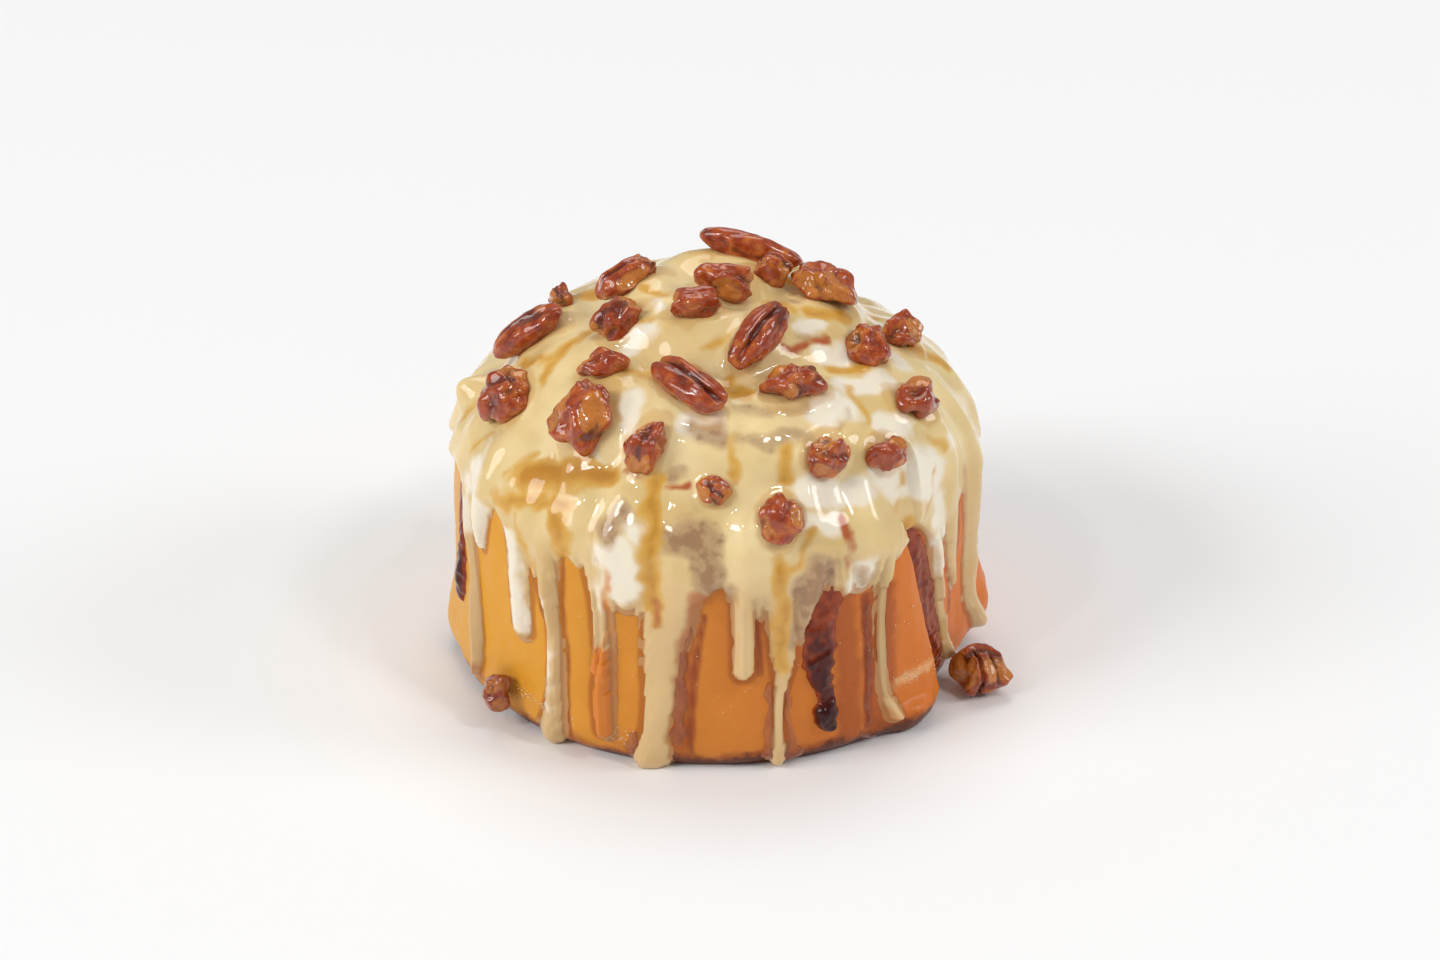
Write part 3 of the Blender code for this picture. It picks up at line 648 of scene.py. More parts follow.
def doughMaterial():
    # baked bread crust, brushed and oven browned: golden orange, satin, with pinhole pores
    material, tree, shader, place = newMaterial(
        "baked_bread_crust",
        **{"IOR": 1.45, "Specular IOR Level": 0.25, "Coat Weight": 0.12, "Coat Roughness": 0.2,
           "Subsurface Weight": 0.15, "Subsurface Radius": (1.0, 0.45, 0.15),
           "Subsurface Scale": 0.002},
    )
    crust = clouded(tree, noise(tree, place, 70.0, 4.0), (0.3, "#C87424"), (0.7, "#D88630"))
    colour = stained(
        tree, place, crust,
        # partly the crust's own tone, partly painted light and shade: lighter and yellower on the left,
        # darker and redder on the right
        ("golden", 2.4, 3.6, 0.5, 20, "#E4A42E", 0.9),
        ("ruddy", 2.6, 4.2, 0.5, 20, "#DE7628", 0.9),
        # painted highlight: the lit top of the seam's ledge and the rounded foot at the left
        ("pale", 0.9, 1.4, 0.9, 1.6, "#F0C488", 0.65),
        # darker rim beside each drip: partly seeped caramel, partly painted shade along the drip's edge
        ("seep", -0.6, 0.5, 0.3, 6, "#A2501A", 0.6),
        ("tanned", 0.3, 1.6, 0.8, 4, "#A8501A", 0.8),
        # partly syrup stains, partly painted shade beside the drips and in the step at the seam
        ("syrup", 0.1, 0.7, 0.25, 4, "#8E3A18", 0.85),
        # browned foot; near the seam's ledge partly painted shade under the ledge
        ("browning", 0.3, 1.5, 1.0, 3, "#A04E1C", 0.85),
        ("browning", 1.9, 1.1, 1.3, 2, "#52220F", 0.85),
    )
    tree.links.new(colour, shader.inputs["Base Color"])
    satin = ranged(tree, valueOf(tree, "tanned"), -1.0, 1.5, 0.4, 0.12, "LINEAR")
    tree.links.new(satin, shader.inputs["Roughness"])
    pores = addNode(tree, "ShaderNodeTexVoronoi", {"Vector": place, "Scale": 900.0})
    pits = ranged(tree, pores.outputs["Distance"], 0.05, 0.35, easing="LINEAR")
    bumped(tree, shader, summed(tree, pits, noise(tree, place, 1400.0, 3.0)), 0.25, 0.0002)
    return material


# Cinnamon filling: the coil's strip, and where it has run out over the wall
filling = dict(
    width=2.0, lowest=1.2, below=-0.6, spacing=0.36, lumps=0.2, lumpSize=2.6,
    edgeStray=0.3, straySize=3.4, sunk=0.5, underside=-2.4,
    leaks=(
        ((6, 36, 45, 126), (
            (14.5, 67, 4, -0.9), (19, 58, 6, -0.9), (23, 48, 7, -0.8), (25, 41, 7.5, 0.1),
            (23.2, 34, 7.5, 0.6), (22.3, 27, 8, 1.2), (23, 21, 6.4, 1.6), (23.8, 16, 4.8, 1.6),
            (24.2, 12, 6.2, 2.6), (24.4, 9.6, 4.4, 2.1),
        )),
        ((-82, -62, 52, 118), (
            (-73, 66, 3, -0.9), (-73, 56, 4, -0.4), (-72.6, 48, 4, 0.4), (-71.2, 41, 4, 0.6),
            (-71.2, 34, 4.4, 0.9), (-72.8, 28, 6, 1.7), (-74.2, 23, 6.4, 1.5), (-74.5, 20, 4, 1.1),
        )),
        ((38, 74, 60, 126), (
            (46, 55, 3, -0.9), (49, 46, 5, -0.4), (52.5, 40, 7, 0.35), (55.5, 32, 8.4, 0.5),
            (58.5, 24, 9, 0.55), (61, 16.5, 8.6, 0.6), (63.5, 10, 7, 0.6), (65, 6.5, 4.5, 0.5),
        )),
    ),
)


def sunkOutside(depth, drop=2.5):  # away from its edge a poured thing dives into the dough
    return np.maximum(drop * depth, -2)


def strayed(points, reach, size, seed):  # places shifted a little, so that strokes aren't ruled
    shift = np.stack([ripple(points, size, seed + i) for i in range(3)], -1)
    return points + reach * shift


def stationsAtHeights(stations):
    return [(angle, float(distanceAtHeight(height)), *rest) for angle, height, *rest in stations]


def makeFilling(material):
    bm = coilRibbon(filling["width"], filling["lowest"], filling["below"], coilColumns())
    sunk = filling["sunk"]
    for patch, stations in filling["leaks"]:
        line = laidStroke(stationsAtHeights(stations))

        def leakHeight(angle, distance):
            points = onSide(angle, distance, 0)
            depth, values = insideStroke(points, line)
            depth = depth + filling["edgeStray"] * ripple(points, filling["straySize"], 27)
            half, top = np.maximum(values[:, 0], 0.5), values[:, 1]
            rounded = np.sqrt(np.clip(1 - (1 - np.clip(depth / half, 0, 1)) ** 2, 0, 1))
            lumps = filling["lumps"] * smooth(top) * ripple(points, filling["lumpSize"], 21)
            height = -sunk + (top + sunk + lumps) * rounded
            return np.where(depth > 0, height, sunkOutside(depth) - sunk)

        mesh = pour("leak", filling["spacing"], leakHeight, filling["underside"], patch=patch)
        bm.from_mesh(mesh)
        bpy.data.meshes.remove(mesh)
    mesh = meshFrom(bm, "cinnamon_filling")
    print("cinnamon filling:", len(mesh.polygons), "faces")
    return newObject("filling_syrup", mesh, ["cinnamon_filling"], material)


def fillingMaterial():
    # boiled cinnamon sugar: nearly black red-brown syrup, glossy, redder where it is a film
    material, tree, shader, place = newMaterial(
        "cinnamon_sugar_syrup",
        **{"Roughness": 0.12, "IOR": 1.48, "Specular IOR Level": 0.12,
           "Coat Weight": 0.4, "Coat Roughness": 0.04},
    )
    film = clouded(tree, noise(tree, place, 420.0, 4.0), (0.35, "#7C2A10"), (0.68, "#A04418"))
    colour = stained(
        tree, place, film,
        ("height", 0.75, 0.4, 0.3, 3, "#52170F", 0.97),
        ("height", 1.4, 0.8, 0.6, 1.6, "#2C0907", 0.8),
    )
    tree.links.new(colour, shader.inputs["Base Color"])
    bumped(tree, shader, noise(tree, place, 900.0, 3.0), 0.5, 0.0004)
    return material


# Pecans: kind, angle, distance, turn, length, width, height, and any lobes and their depth
pecan = dict(
    sides=84, rows=60, sink=0.18, seed=4, onIcing=1.8,
    half=dict(
        uneven=0.03, furrowWidth=0.15, furrowDepth=0.36, snapped=0, stretch=(0.4, 1, 0.9),
        grooves=0.2, lumps=0.1,
    ),
    piece=dict(
        uneven=0.07, furrowWidth=0.2, furrowDepth=0.2, snapped=4, stretch=(0.75, 1, 0.9),
        grooves=0.5, lumps=0.34,
    ),
    sizes=dict(grooves=9.5, lumps=4.8, wrinkles=1.7, folds=4.4), folds=0.12, wrinkles=0.05, ribs=1.3,
    laid=(
        ("half", -85, 40.8, 76, 19.0, 9.0, 7.0),
        ("piece", -100, 34.5, 28, 9.0, 6.0, 5.5),
        ("piece", -86, 17.0, 111, 15.5, 8.0, 7.0),
        ("piece", -56, 24.0, 64, 13.5, 9.0, 6.5),
        ("piece", -41, 35.8, 41, 12.0, 7.5, 6.0, 3, 0.18),
        ("piece", -69, 51.3, 56, 13.5, 13.5, 8.5),
        ("piece", -37, 47.3, 90, 19.5, 13.5, 9.0, 2, 0.25),
        ("piece", -17, 50.0, 83, 12.5, 7.6, 7.0),
        ("half", -8, 37.3, -38, 20.0, 8.8, 7.2),
        ("half", 21, 24.6, 40, 20.0, 8.6, 7.2),
        ("piece", 27, 38.0, -5, 16.5, 10.0, 7.0, 5, 0.20),
        ("half", 145, 11.5, 26, 22.5, 8.4, 6.8),
        ("piece", 90, 10.8, 80, 8.5, 5.6, 7.5),
        ("piece", 18, 6.8, -33, 15.0, 9.5, 8.0, 3, 0.12),
        ("piece", -13, 16.6, 16, 13.5, 7.5, 7.0, 3, 0.15),
        ("piece", 87, 23.0, 82, 18.0, 11.5, 8.0, 2, 0.22),
        ("piece", 88, 42.5, 81, 10.0, 9.5, 8.0, 3, 0.15),
        ("piece", 67, 37.0, -52, 10.5, 11.5, 9.0, 3, 0.20),
        ("piece", 61, 51.0, -30, 14.5, 9.5, 7.5, 2, 0.28),
        ("piece", 28, 53.8, 22, 10.5, 9.5, 7.0, 3, 0.12),
        ("piece", 44, 57.0, -13, 11.0, 8.0, 6.5, 3, 0.20),
        ("piece", 14, 65.0, 60, 12.0, 9.8, 7.0, 2, 0.22),
        ("piece", 0, 58.7, -39, 7.0, 6.2, 5.2),
        ("piece", -50, 113.0, 20, 9.5, 9.0, 6.0, 3, 0.15),
        ("piece", 172, 40.0, 20, 12.5, 9.5, 7.0),
        ("piece", 147, 46.0, 60, 8.5, 7.0, 5.5),
        ("half", 185, 57.0, 62, 19.0, 9.0, 6.8),
        ("piece", 203, 56.0, 110, 12.8, 9.2, 7.0, 3, 0.15),
        ("piece", 160, 58.0, 75, 12.2, 9.6, 7.0, 2, 0.20),
        ("piece", 173, 66.0, 15, 8.8, 7.0, 5.5),
        ("piece", 140, 69.0, 140, 12.6, 9.4, 7.0),
        ("piece", 214, 65.0, 50, 8.4, 6.8, 5.2, 3, 0.15),
        ("piece", 231, 70.0, 95, 12.4, 9.2, 6.8),
        ("piece", 199, 68.0, 95, 8.4, 6.8, 5.2),
    ),
    fallenPlace=(58.0, -23.3, 5.7), fallenTurn=24.0, fallenSizes=(12.5, 11.5, 11.2),
    fallenRibs=(-2.2, 1.9), ribWidth=0.5, darkest="pecan_24", darkestTone=1.6,
)


def pecanFrame(angle, distance, turn, height):
    base = Vector(onDough(angle, distance, pecan["onIcing"]))
    down = Vector(onDough(angle, distance + 2) - onDough(angle, distance - 2)).normalized()
    aside = math.degrees(2 / max(float(sideAt(distance)[0]), 2))
    across = Vector(onDough(angle + aside, distance) - onDough(angle - aside, distance)).normalized()
    out = across.cross(-down).normalized()
    heading = Matrix.Rotation(math.radians(turn), 3, out) @ across
    return base + out * height * (0.5 - pecan["sink"]), heading, out.cross(heading), out


def makePecan(name, node, entry, frame, seed, material):
    kind, length, width, height, lobes, lobeDepth = entry
    shape, isFoot = pecan[kind], node == "pecan_at_foot"
    draw = random.Random(seed)
    bm = bmesh.new()
    bmesh.ops.create_uvsphere(bm, u_segments=pecan["sides"], v_segments=pecan["rows"], radius=1)
    lying = Matrix.Rotation(math.pi / 2, 3, "Y")
    bmesh.ops.rotate(bm, cent=(0, 0, 0), matrix=lying, verts=bm.verts)
    mesh = meshFrom(bm, name)
    ball = meshPoints(mesh)
    size = 1 + shape["uneven"] * ripple(ball, 1.9, seed)
    sway = 0.07 * np.sin(3 * ball[:, 0] + draw.uniform(0, math.tau))
    furrow = hump(ball[:, 1] - sway, shape["furrowWidth"]) * smooth((ball[:, 2] + 0.15) / 0.5)
    furrow = furrow * smooth((1.02 - abs(ball[:, 0])) / 0.3) * (lobes == 0)
    size = size + 0.05 * hump(abs(ball[:, 1]) - 0.5, 0.25) - shape["furrowDepth"] * furrow
    if lobes:
        around = np.arctan2(ball[:, 1], ball[:, 0])
        size = size * (1 - lobeDepth * (0.5 + 0.5 * np.cos(lobes * around)))
    points = ball * size[:, None]
    broken = np.zeros(len(points))
    for i in range(shape["snapped"]):  # faces where the kernel has snapped
        turn, rise, limit = draw.uniform(0, math.tau), draw.uniform(-0.1, 0.9), draw.uniform(0.68, 0.84)
        facing = np.array([math.cos(turn), math.sin(turn), rise]) if i else np.array([1, 0.2, 0.1])
        facing = facing / np.linalg.norm(facing)
        over = points @ facing - limit - 0.03 * ripple(points, 0.6, seed + i)
        points = points - np.maximum(over, 0)[:, None] * 0.9 * facing
        broken = np.maximum(broken, smooth(over / 0.14))
    points = points * (length, width, height) / 2
    along, sizes = points * shape["stretch"], pecan["sizes"]
    grooves = hump(ripple(along, sizes["grooves"], seed + 50), 0.5) * (not isFoot)
    lumps = ripple(along, sizes["lumps"], seed + 90)
    wrinkles = ripple(along, sizes["wrinkles"], seed + 130)
    folds = hump(ripple(along, sizes["folds"], seed + 170), 0.5)
    ribs = np.zeros(len(points))
    if isFoot:
        ribs = sum(hump(points[:, 0] - rib, pecan["ribWidth"]) for rib in pecan["fallenRibs"])
        ribs = ribs * smooth((3 - points[:, 1]) / 3)
    inward = ball / np.linalg.norm(ball, axis=1)[:, None]
    sunk = shape["grooves"] * grooves + pecan["ribs"] * ribs + pecan["folds"] * folds
    sunk = sunk - pecan["wrinkles"] * wrinkles - shape["lumps"] * lumps
    points = points - inward * sunk[:, None]
    middle, heading, sideways, out = frame
    points = points @ np.array([heading, sideways, out]) + np.array(middle)
    points[:, 2] = np.maximum(points[:, 2], 0)
    setPoints(mesh, points * mm)
    crevice = 0.55 * grooves + 1.1 * furrow + 1.1 * ribs
    crevice = crevice + 0.22 * folds - 0.2 * lumps - 0.06 * wrinkles
    shade = pecan["darkestTone"] if node == pecan["darkest"] else draw.uniform(-1, 1)
    setValues(mesh, crevice=crevice, broken=broken, tone=np.full(len(points), shade))
    return newObject(name, mesh, [node], material)


def makePecans(material):
    feet = []
    for i, (kind, angle, distance, turn, length, width, height, *lobes) in enumerate(pecan["laid"]):
        frame = pecanFrame(angle, distance, turn, height)
        entry = kind, length, width, height, *(lobes or (0, 0))
        number = f"pecan_{i + 1:02d}"
        makePecan("glazed_" + number, number, entry, frame, pecan["seed"] + i, material)
        feet.append((frame, length / 2, width / 2))
    heading = Matrix.Rotation(math.radians(pecan["fallenTurn"]), 3, "Z") @ Vector((1, 0, 0))
    up = Vector((0, 0, 1))
    frame = Vector(pecan["fallenPlace"]), heading, up.cross(heading), up
    entry = "piece", *pecan["fallenSizes"], 0, 0
    makePecan("glazed_pecan_foot", "pecan_at_foot", entry, frame, pecan["seed"], material)
    print("pecans:", len(feet) + 1)
    return feet


def pecanMaterial():
    # roasted pecan kernels under a hard sugar glaze: red-brown skin, orange where it is broken
    material, tree, shader, place = newMaterial(
        "glazed_roasted_pecan",
        **{"Roughness": 0.2, "IOR": 1.5, "Specular IOR Level": 0.15,
           "Coat Weight": 1.0, "Coat Roughness": 0.05},
    )
    cloud = noise(tree, place, 380.0, 5.0, 0.6)
    skin = clouded(tree, cloud, (0.3, "#7A260A"), (0.5, "#A8441A"), (0.7, "#CC7630"))
    colour = stained(
        tree, place, skin,
        ("tone", 0.4, 1.6, 0.5, 6, "#96381A", 0.6),
        ("broken", 0.6, 0.6, 0.3, 2, "#D28A38", 0.65),
        ("crevice", 0.68, 0.34, 0.15, 2, "#541A0C", 0.8),
        ("tone", 1.5, 0.4, 0.3, 3, "#7A2C10", 0.6),
    )
    tree.links.new(colour, shader.inputs["Base Color"])
    bumped(tree, shader, noise(tree, place, 700.0, 2.0), 0.6, 0.0007)
    return material


# Maple icing: poured over the dome, with drips of angle, height and width, thickness and lift
icing = dict(
    spacing=1.0, rows=((0, 0), (84, 62), (236, 128.5)),
    thickness=1.8, edgeWidth=2.2, dripWidth=3.6, underside=-0.9, blend=0.9, roundness=2.3,
    easeLow=1.0, easeHigh=3.4, easeFrom=34, easeReach=10,
    backWaves=((1.4, 5, 40), (1.2, 11, 0)), collarHeight=0.55, collarReach=0.9,
    swells=((0.12, 17, 31), (0.07, 8, 33)), streaks=(0.24, 9, 37), streaksFrom=40, streaksReach=25,
    strays=((0.45, 10, 61), (0.25, 4, 71)), lowFrom=50,
    edge=(
        (-180, 47), (-100, 47), (-90, 49), (-75, 50), (-66, 48), (-54, 50), (-41, 43), (-35, 46.5),
        (-30, 45.5), (-25.5, 50.5), (-23.5, 47), (-22, 44), (-20, 41.7), (-17.5, 40), (-15, 39),
        (-8, 39.5), (-2.5, 41), (0, 43), (1.5, 44.5), (3, 43.5), (8.3, 41.5), (12, 41), (17, 45),
        (21, 48.6), (29, 49), (31, 46), (38, 46), (41.2, 45), (48, 45.5), (50.8, 46), (54, 44.4),
        (57, 41.7), (57.8, 39), (60, 43), (62, 44), (72, 46), (80, 47), (90, 48), (100, 47), (180, 47),
    ),
    drips=(
        (((-76, 58, 5), (-72.8, 55, 4), (-68.2, 50, 3.2), (-65.2, 43, 2.8), (-64, 36, 2.8),
          (-62.5, 26, 2.8), (-61, 15, 3.2), (-63, 7, 3.4)), 1.6, 0.9),
        (((-63.5, 57, 7), (-60.7, 50, 7), (-59.7, 46, 6.6), (-58.8, 39, 2.4)), 1.5, 0.4),
        (((-50, 55, 7), (-46.8, 45, 7), (-45.4, 39, 7.6), (-45, 26, 6.8)), 1.7, 0.4),
        (((-41, 54, 6), (-38, 44, 6.4), (-36.2, 34, 4.9), (-35.6, 20, 4.2), (-36, 10, 5.8),
          (-38, 2.4, 8)), 1.6, 0.4),
        (((-29, 54, 6), (-26.8, 44, 3.6), (-25.4, 35, 2.8), (-25.2, 22.5, 2.2)), 1.4, 0.5),
        (((-24, 54, 2), (-22.8, 35, 1.8), (-23.4, 26, 3.2), (-24, 17, 5.2), (-23.6, 8, 5)), 1.5, 0.4),
        (((-19.5, 54, 10), (-19.5, 45, 9.5), (-18.5, 39.5, 6)), 1.5, 0.4),
        (((-8, 54, 15), (-9.4, 38, 12), (-10.6, 29, 9.8), (-11.4, 20, 8.2), (-12.2, 10, 7),
          (-13.8, 1.8, 9.4)), 1.7, 0.4),
        (((5.6, 54, 8), (5.9, 40, 5.2), (6, 30, 5.2), (6, 24.2, 5.0)), 1.9, 0.4),
        (((12, 54, 10), (13.6, 38, 7.2), (14.5, 29, 7.0), (14.4, 22.5, 4.6), (13.6, 17, 2.9),
          (13.5, 9, 2.9), (13.7, 2.4, 5)), 1.6, 0.4),
        (((20.7, 54, 11), (20.5, 44, 8), (19, 37, 4.5), (18.2, 31, 2)), 1.0, 0.7),
        (((26.3, 54, 5), (27, 48, 3.4), (27.3, 39.5, 1.8)), 1.5, 1.0),
        (((33, 54, 9), (32.6, 47, 7), (32, 41, 5)), 1.4, 1.0),
        (((38.6, 54, 6), (38.3, 44, 3.6), (37.2, 34, 2.8), (37.7, 20, 2.7), (38.6, 13, 2.8),
          (41, 7, 4)), 1.5, 0.8),
        (((58.5, 54, 6), (59.6, 42, 4.4), (61.2, 32, 3.8), (63.6, 22, 2.6), (66.5, 13.5, 3.4),
          (70, 7, 5)), 1.4, 0.5),
        (((65.5, 54, 7), (67, 42, 7.6), (68.4, 32, 6), (70.5, 24, 2)), 1.0, 0.3),
        (((77, 54, 13), (78.5, 41, 10.4), (79.2, 28, 7.8), (79.8, 17, 5.4), (84, 8, 4)), 1.7, 0.5),
    ),
    longDrip=16, leanReach=100,
    backDrips=10, backStart=94.0, backEnd=268.0, backTips=(6.0, 14.0, 22.0, 30.0), backSeed=11,
    backTop=53.5, backShoulder=43, backWidths=(3.4, 7.6), backThickness=1.6, backLift=0.4,
    knob=(-87, 62, 8.4, 4.6),
    caramel=(
        (3.0, (589, 328), (564, 355), (545, 384)), (1.8, (564, 355), (530, 366), (497, 366)),
        (2.6, (619, 372), (652, 376)), (2.4, (650, 294), (667, 298)), (1.4, (637, 326), (656, 326)),
        (1.8, (462, 424), (476, 403)), (1.4, (460, 390), (478, 384)), (0.8, (472, 449), (489, 433)),
        (0.7, (507, 474), (529, 451)), (6.4, (524, 474), (560, 472), (606, 474)),
        (3.0, (500, 496), (519, 502)), (4.6, (560, 520), (564, 548)), (3.6, (512, 498), (566, 500)),
        (0.9, (518, 514), (524, 540), (531, 566)), (4.0, (651, 482), (651, 540), (651, 600)),
        (2.2, (654, 600), (657, 624)), (3.4, (806, 316), (844, 322)), (3.0, (853, 306), (884, 314)),
        (2.6, (832, 364), (866, 368)), (3.6, (912, 352), (940, 368)), (3.4, (722, 382), (743, 398)),
        (3.0, (784, 452), (786, 478)), (1.6, (732, 444), (733, 480)), (1.6, (924, 438), (940, 446)),
        (1.0, (846, 392), (862, 412), (866, 423)), (3.6, (781, 562), (782, 620), (782, 668)),
        (1.2, (815, 528), (808, 553), (793, 569)), (4.2, (918, 532), (926, 545)),
        (1.2, (700, 348), (716, 342), (730, 336)), (2.0, (770, 300), (790, 314)),
        (1.4, (905, 470), (908, 500), (905, 530)), (1.2, (935, 470), (936, 520)),
    ),
    # whiter patches: partly whiter cream, partly painted highlights of the soft boxes on the shoulder
    milky=(
        (3.4, (628, 344), (652, 332)), (4.0, (632, 426), (637, 402)), (4.4, (688, 426), (716, 430)),
        (4.6, (478, 466), (479, 500), (484, 532)), (2.2, (592, 448), (600, 458)),
        (2.8, (655, 308), (662, 312)), (4.0, (822, 354), (848, 350)), (5.0, (846, 388), (880, 382)),
        (3.6, (893, 354), (902, 370)), (7.5, (822, 418), (842, 410)), (5.0, (878, 424), (900, 430)),
        (3.6, (944, 438), (954, 446)), (11.0, (890, 470), (934, 478)), (7.0, (810, 490), (862, 492)),
        (3.4, (800, 330), (818, 328)), (7.5, (616, 556), (624, 588)), (3.4, (633, 524), (636, 534)),
        (2.6, (538, 590), (544, 640), (547, 700)), (2.0, (600, 560), (602, 610)),
        (2.6, (470, 480), (466, 540), (466, 600)),
        (6.6, (507, 540), (512, 590), (518, 616)), (3.6, (478, 530), (484, 548)),
        (3.6, (948, 500), (954, 570)), (5.0, (866, 566), (862, 592)), (4.6, (806, 520), (832, 520)),
    ),
    spice=(
        (2.2, (791, 302), (815, 304)), (1.4, (797, 340), (815, 339)),
        (4.4, (694, 432), (710, 436), (722, 442)),
        (2.2, (738, 417), (770, 414), (806, 412)), (2.6, (738, 443), (770, 441), (802, 440)),
        (2.0, (838, 432), (844, 415)), (5.4, (610, 530), (624, 518)), (2.8, (668, 478), (682, 474)),
        (8.0, (672, 537), (704, 537)), (7.0, (704, 556), (708, 584)), (4.4, (714, 596), (728, 592)),
        (9.0, (822, 576), (812, 600)), (6.0, (808, 610), (800, 640)), (2.4, (862, 570), (868, 582)),
    ),
    bare=(
        (2.6, (782, 350), (800, 347), (821, 341)), (3.0, (841, 522), (850, 544)),
        (2.4, (668, 488), (686, 484)), (2.0, (640, 472), (626, 466)),
    ),
    toffee=(
        (5.0, (700, 600), (689, 640), (683, 690), (680, 758)), (1.0, (597, 520), (594, 545), (604, 576)),
        (1.2, (622, 404), (620, 428), (626, 446)), (2.2, (470, 640), (476, 664), (476, 680)),
        (3.0, (848, 556), (851, 562)), (3.0, (655, 604), (657, 626)),
    ),
    orange=(
        (1.4, (606, 570), (607, 600), (605, 640)), (8.0, (604, 660), (604, 700), (604, 736)),
        (3.0, (882, 700), (888, 730)),
    ),
    backStrokes=54, backStrokeSeed=23, golden=0.618, milkyWider=1.7,
    backKinds=("caramel", "milky", "caramel", "spice", "milky", "milky"),
)


def pouredDrips():
    drips = [(stationsAtHeights(stations), thick, lift) for stations, thick, lift in icing["drips"]]
    draw = random.Random(icing["backSeed"])
    step = (icing["backEnd"] - icing["backStart"]) / icing["backDrips"]
    shoulder = icing["backShoulder"]
    for i in range(icing["backDrips"]):
        angle = icing["backStart"] + step * (i + 0.5) + draw.uniform(-3, 3)
        width = draw.uniform(*icing["backWidths"])
        tip = draw.choice(icing["backTips"]) + draw.uniform(-3, 3)
        stray = draw.uniform(-2.5, 2.5)
        stations = (
            (angle, icing["backTop"], width + 6), (angle + 0.3 * stray, shoulder, width),
            (angle + 0.7 * stray, (shoulder + tip) / 2, max(0.6 * width, 2.8)),
            (angle + stray, tip, max(0.75 * width, 4)),
        )
        drips.append((stationsAtHeights(stations), icing["backThickness"], icing["backLift"]))
    return drips


def alongDrips(angle, distance):  # columns of the cloth that lean with the long drips, for clean edges
    lines = [
        throughStations(stationsAtHeights(stations)) for stations, _, _ in icing["drips"]
        if stations[-1][1] < icing["longDrip"]
    ]
    tops = [-icing["leanReach"], *[line[0, 0] for line in lines], icing["leanReach"]]
    shifts = [np.interp(distance, line[:, 1], line[:, 0]) - line[0, 0] for line in lines]
    shifts = [0 * angle, *shifts, 0 * angle]
    leaned = angle
    for i in range(len(tops) - 1):
        share = (angle - tops[i]) / (tops[i + 1] - tops[i])
        inside = (share >= 0) & (share < 1)
        leaned = np.where(inside, angle + shifts[i] * (1 - share) + shifts[i + 1] * share, leaned)
    return leaned


def backStrokes():  # the same mix of caramel, whiter cream with painted highlights, and spice where the photograph doesn't reach
    draw = random.Random(icing["backStrokeSeed"])
    strokes = {kind: [] for kind in icing["backKinds"]}
    for i in range(icing["backStrokes"]):
        kind = icing["backKinds"][i % len(icing["backKinds"])]
        angle = 100 + 160 * ((i * icing["golden"]) % 1.0)
        distance = 14 + 74 * (i + 0.5) / icing["backStrokes"]
        width = draw.uniform(1.8, 4.4) * (icing["milkyWider"] if kind == "milky" else 1)
        length, lean = draw.uniform(5, 13), draw.uniform(-0.6, 0.6)
        turn = math.degrees(length * lean / max(float(sideAt(distance)[0]), 8))
        stations = ((angle, distance, width), (angle + turn, distance + length, width * 0.7))
        strokes[kind].append(laidStroke(stations))
    return strokes


def pecanGap(points, foot):  # how far points lie outside a pecan's oval
    (middle, heading, sideways, _), long_, wide = foot
    away = points - np.array(middle)
    along, across = away @ np.array(heading), away @ np.array(sideways)
    gap = (np.hypot(along / long_, across / wide) - 1) * wide
    return np.where(np.linalg.norm(away, axis=1) < long_ + 6, gap, 9)


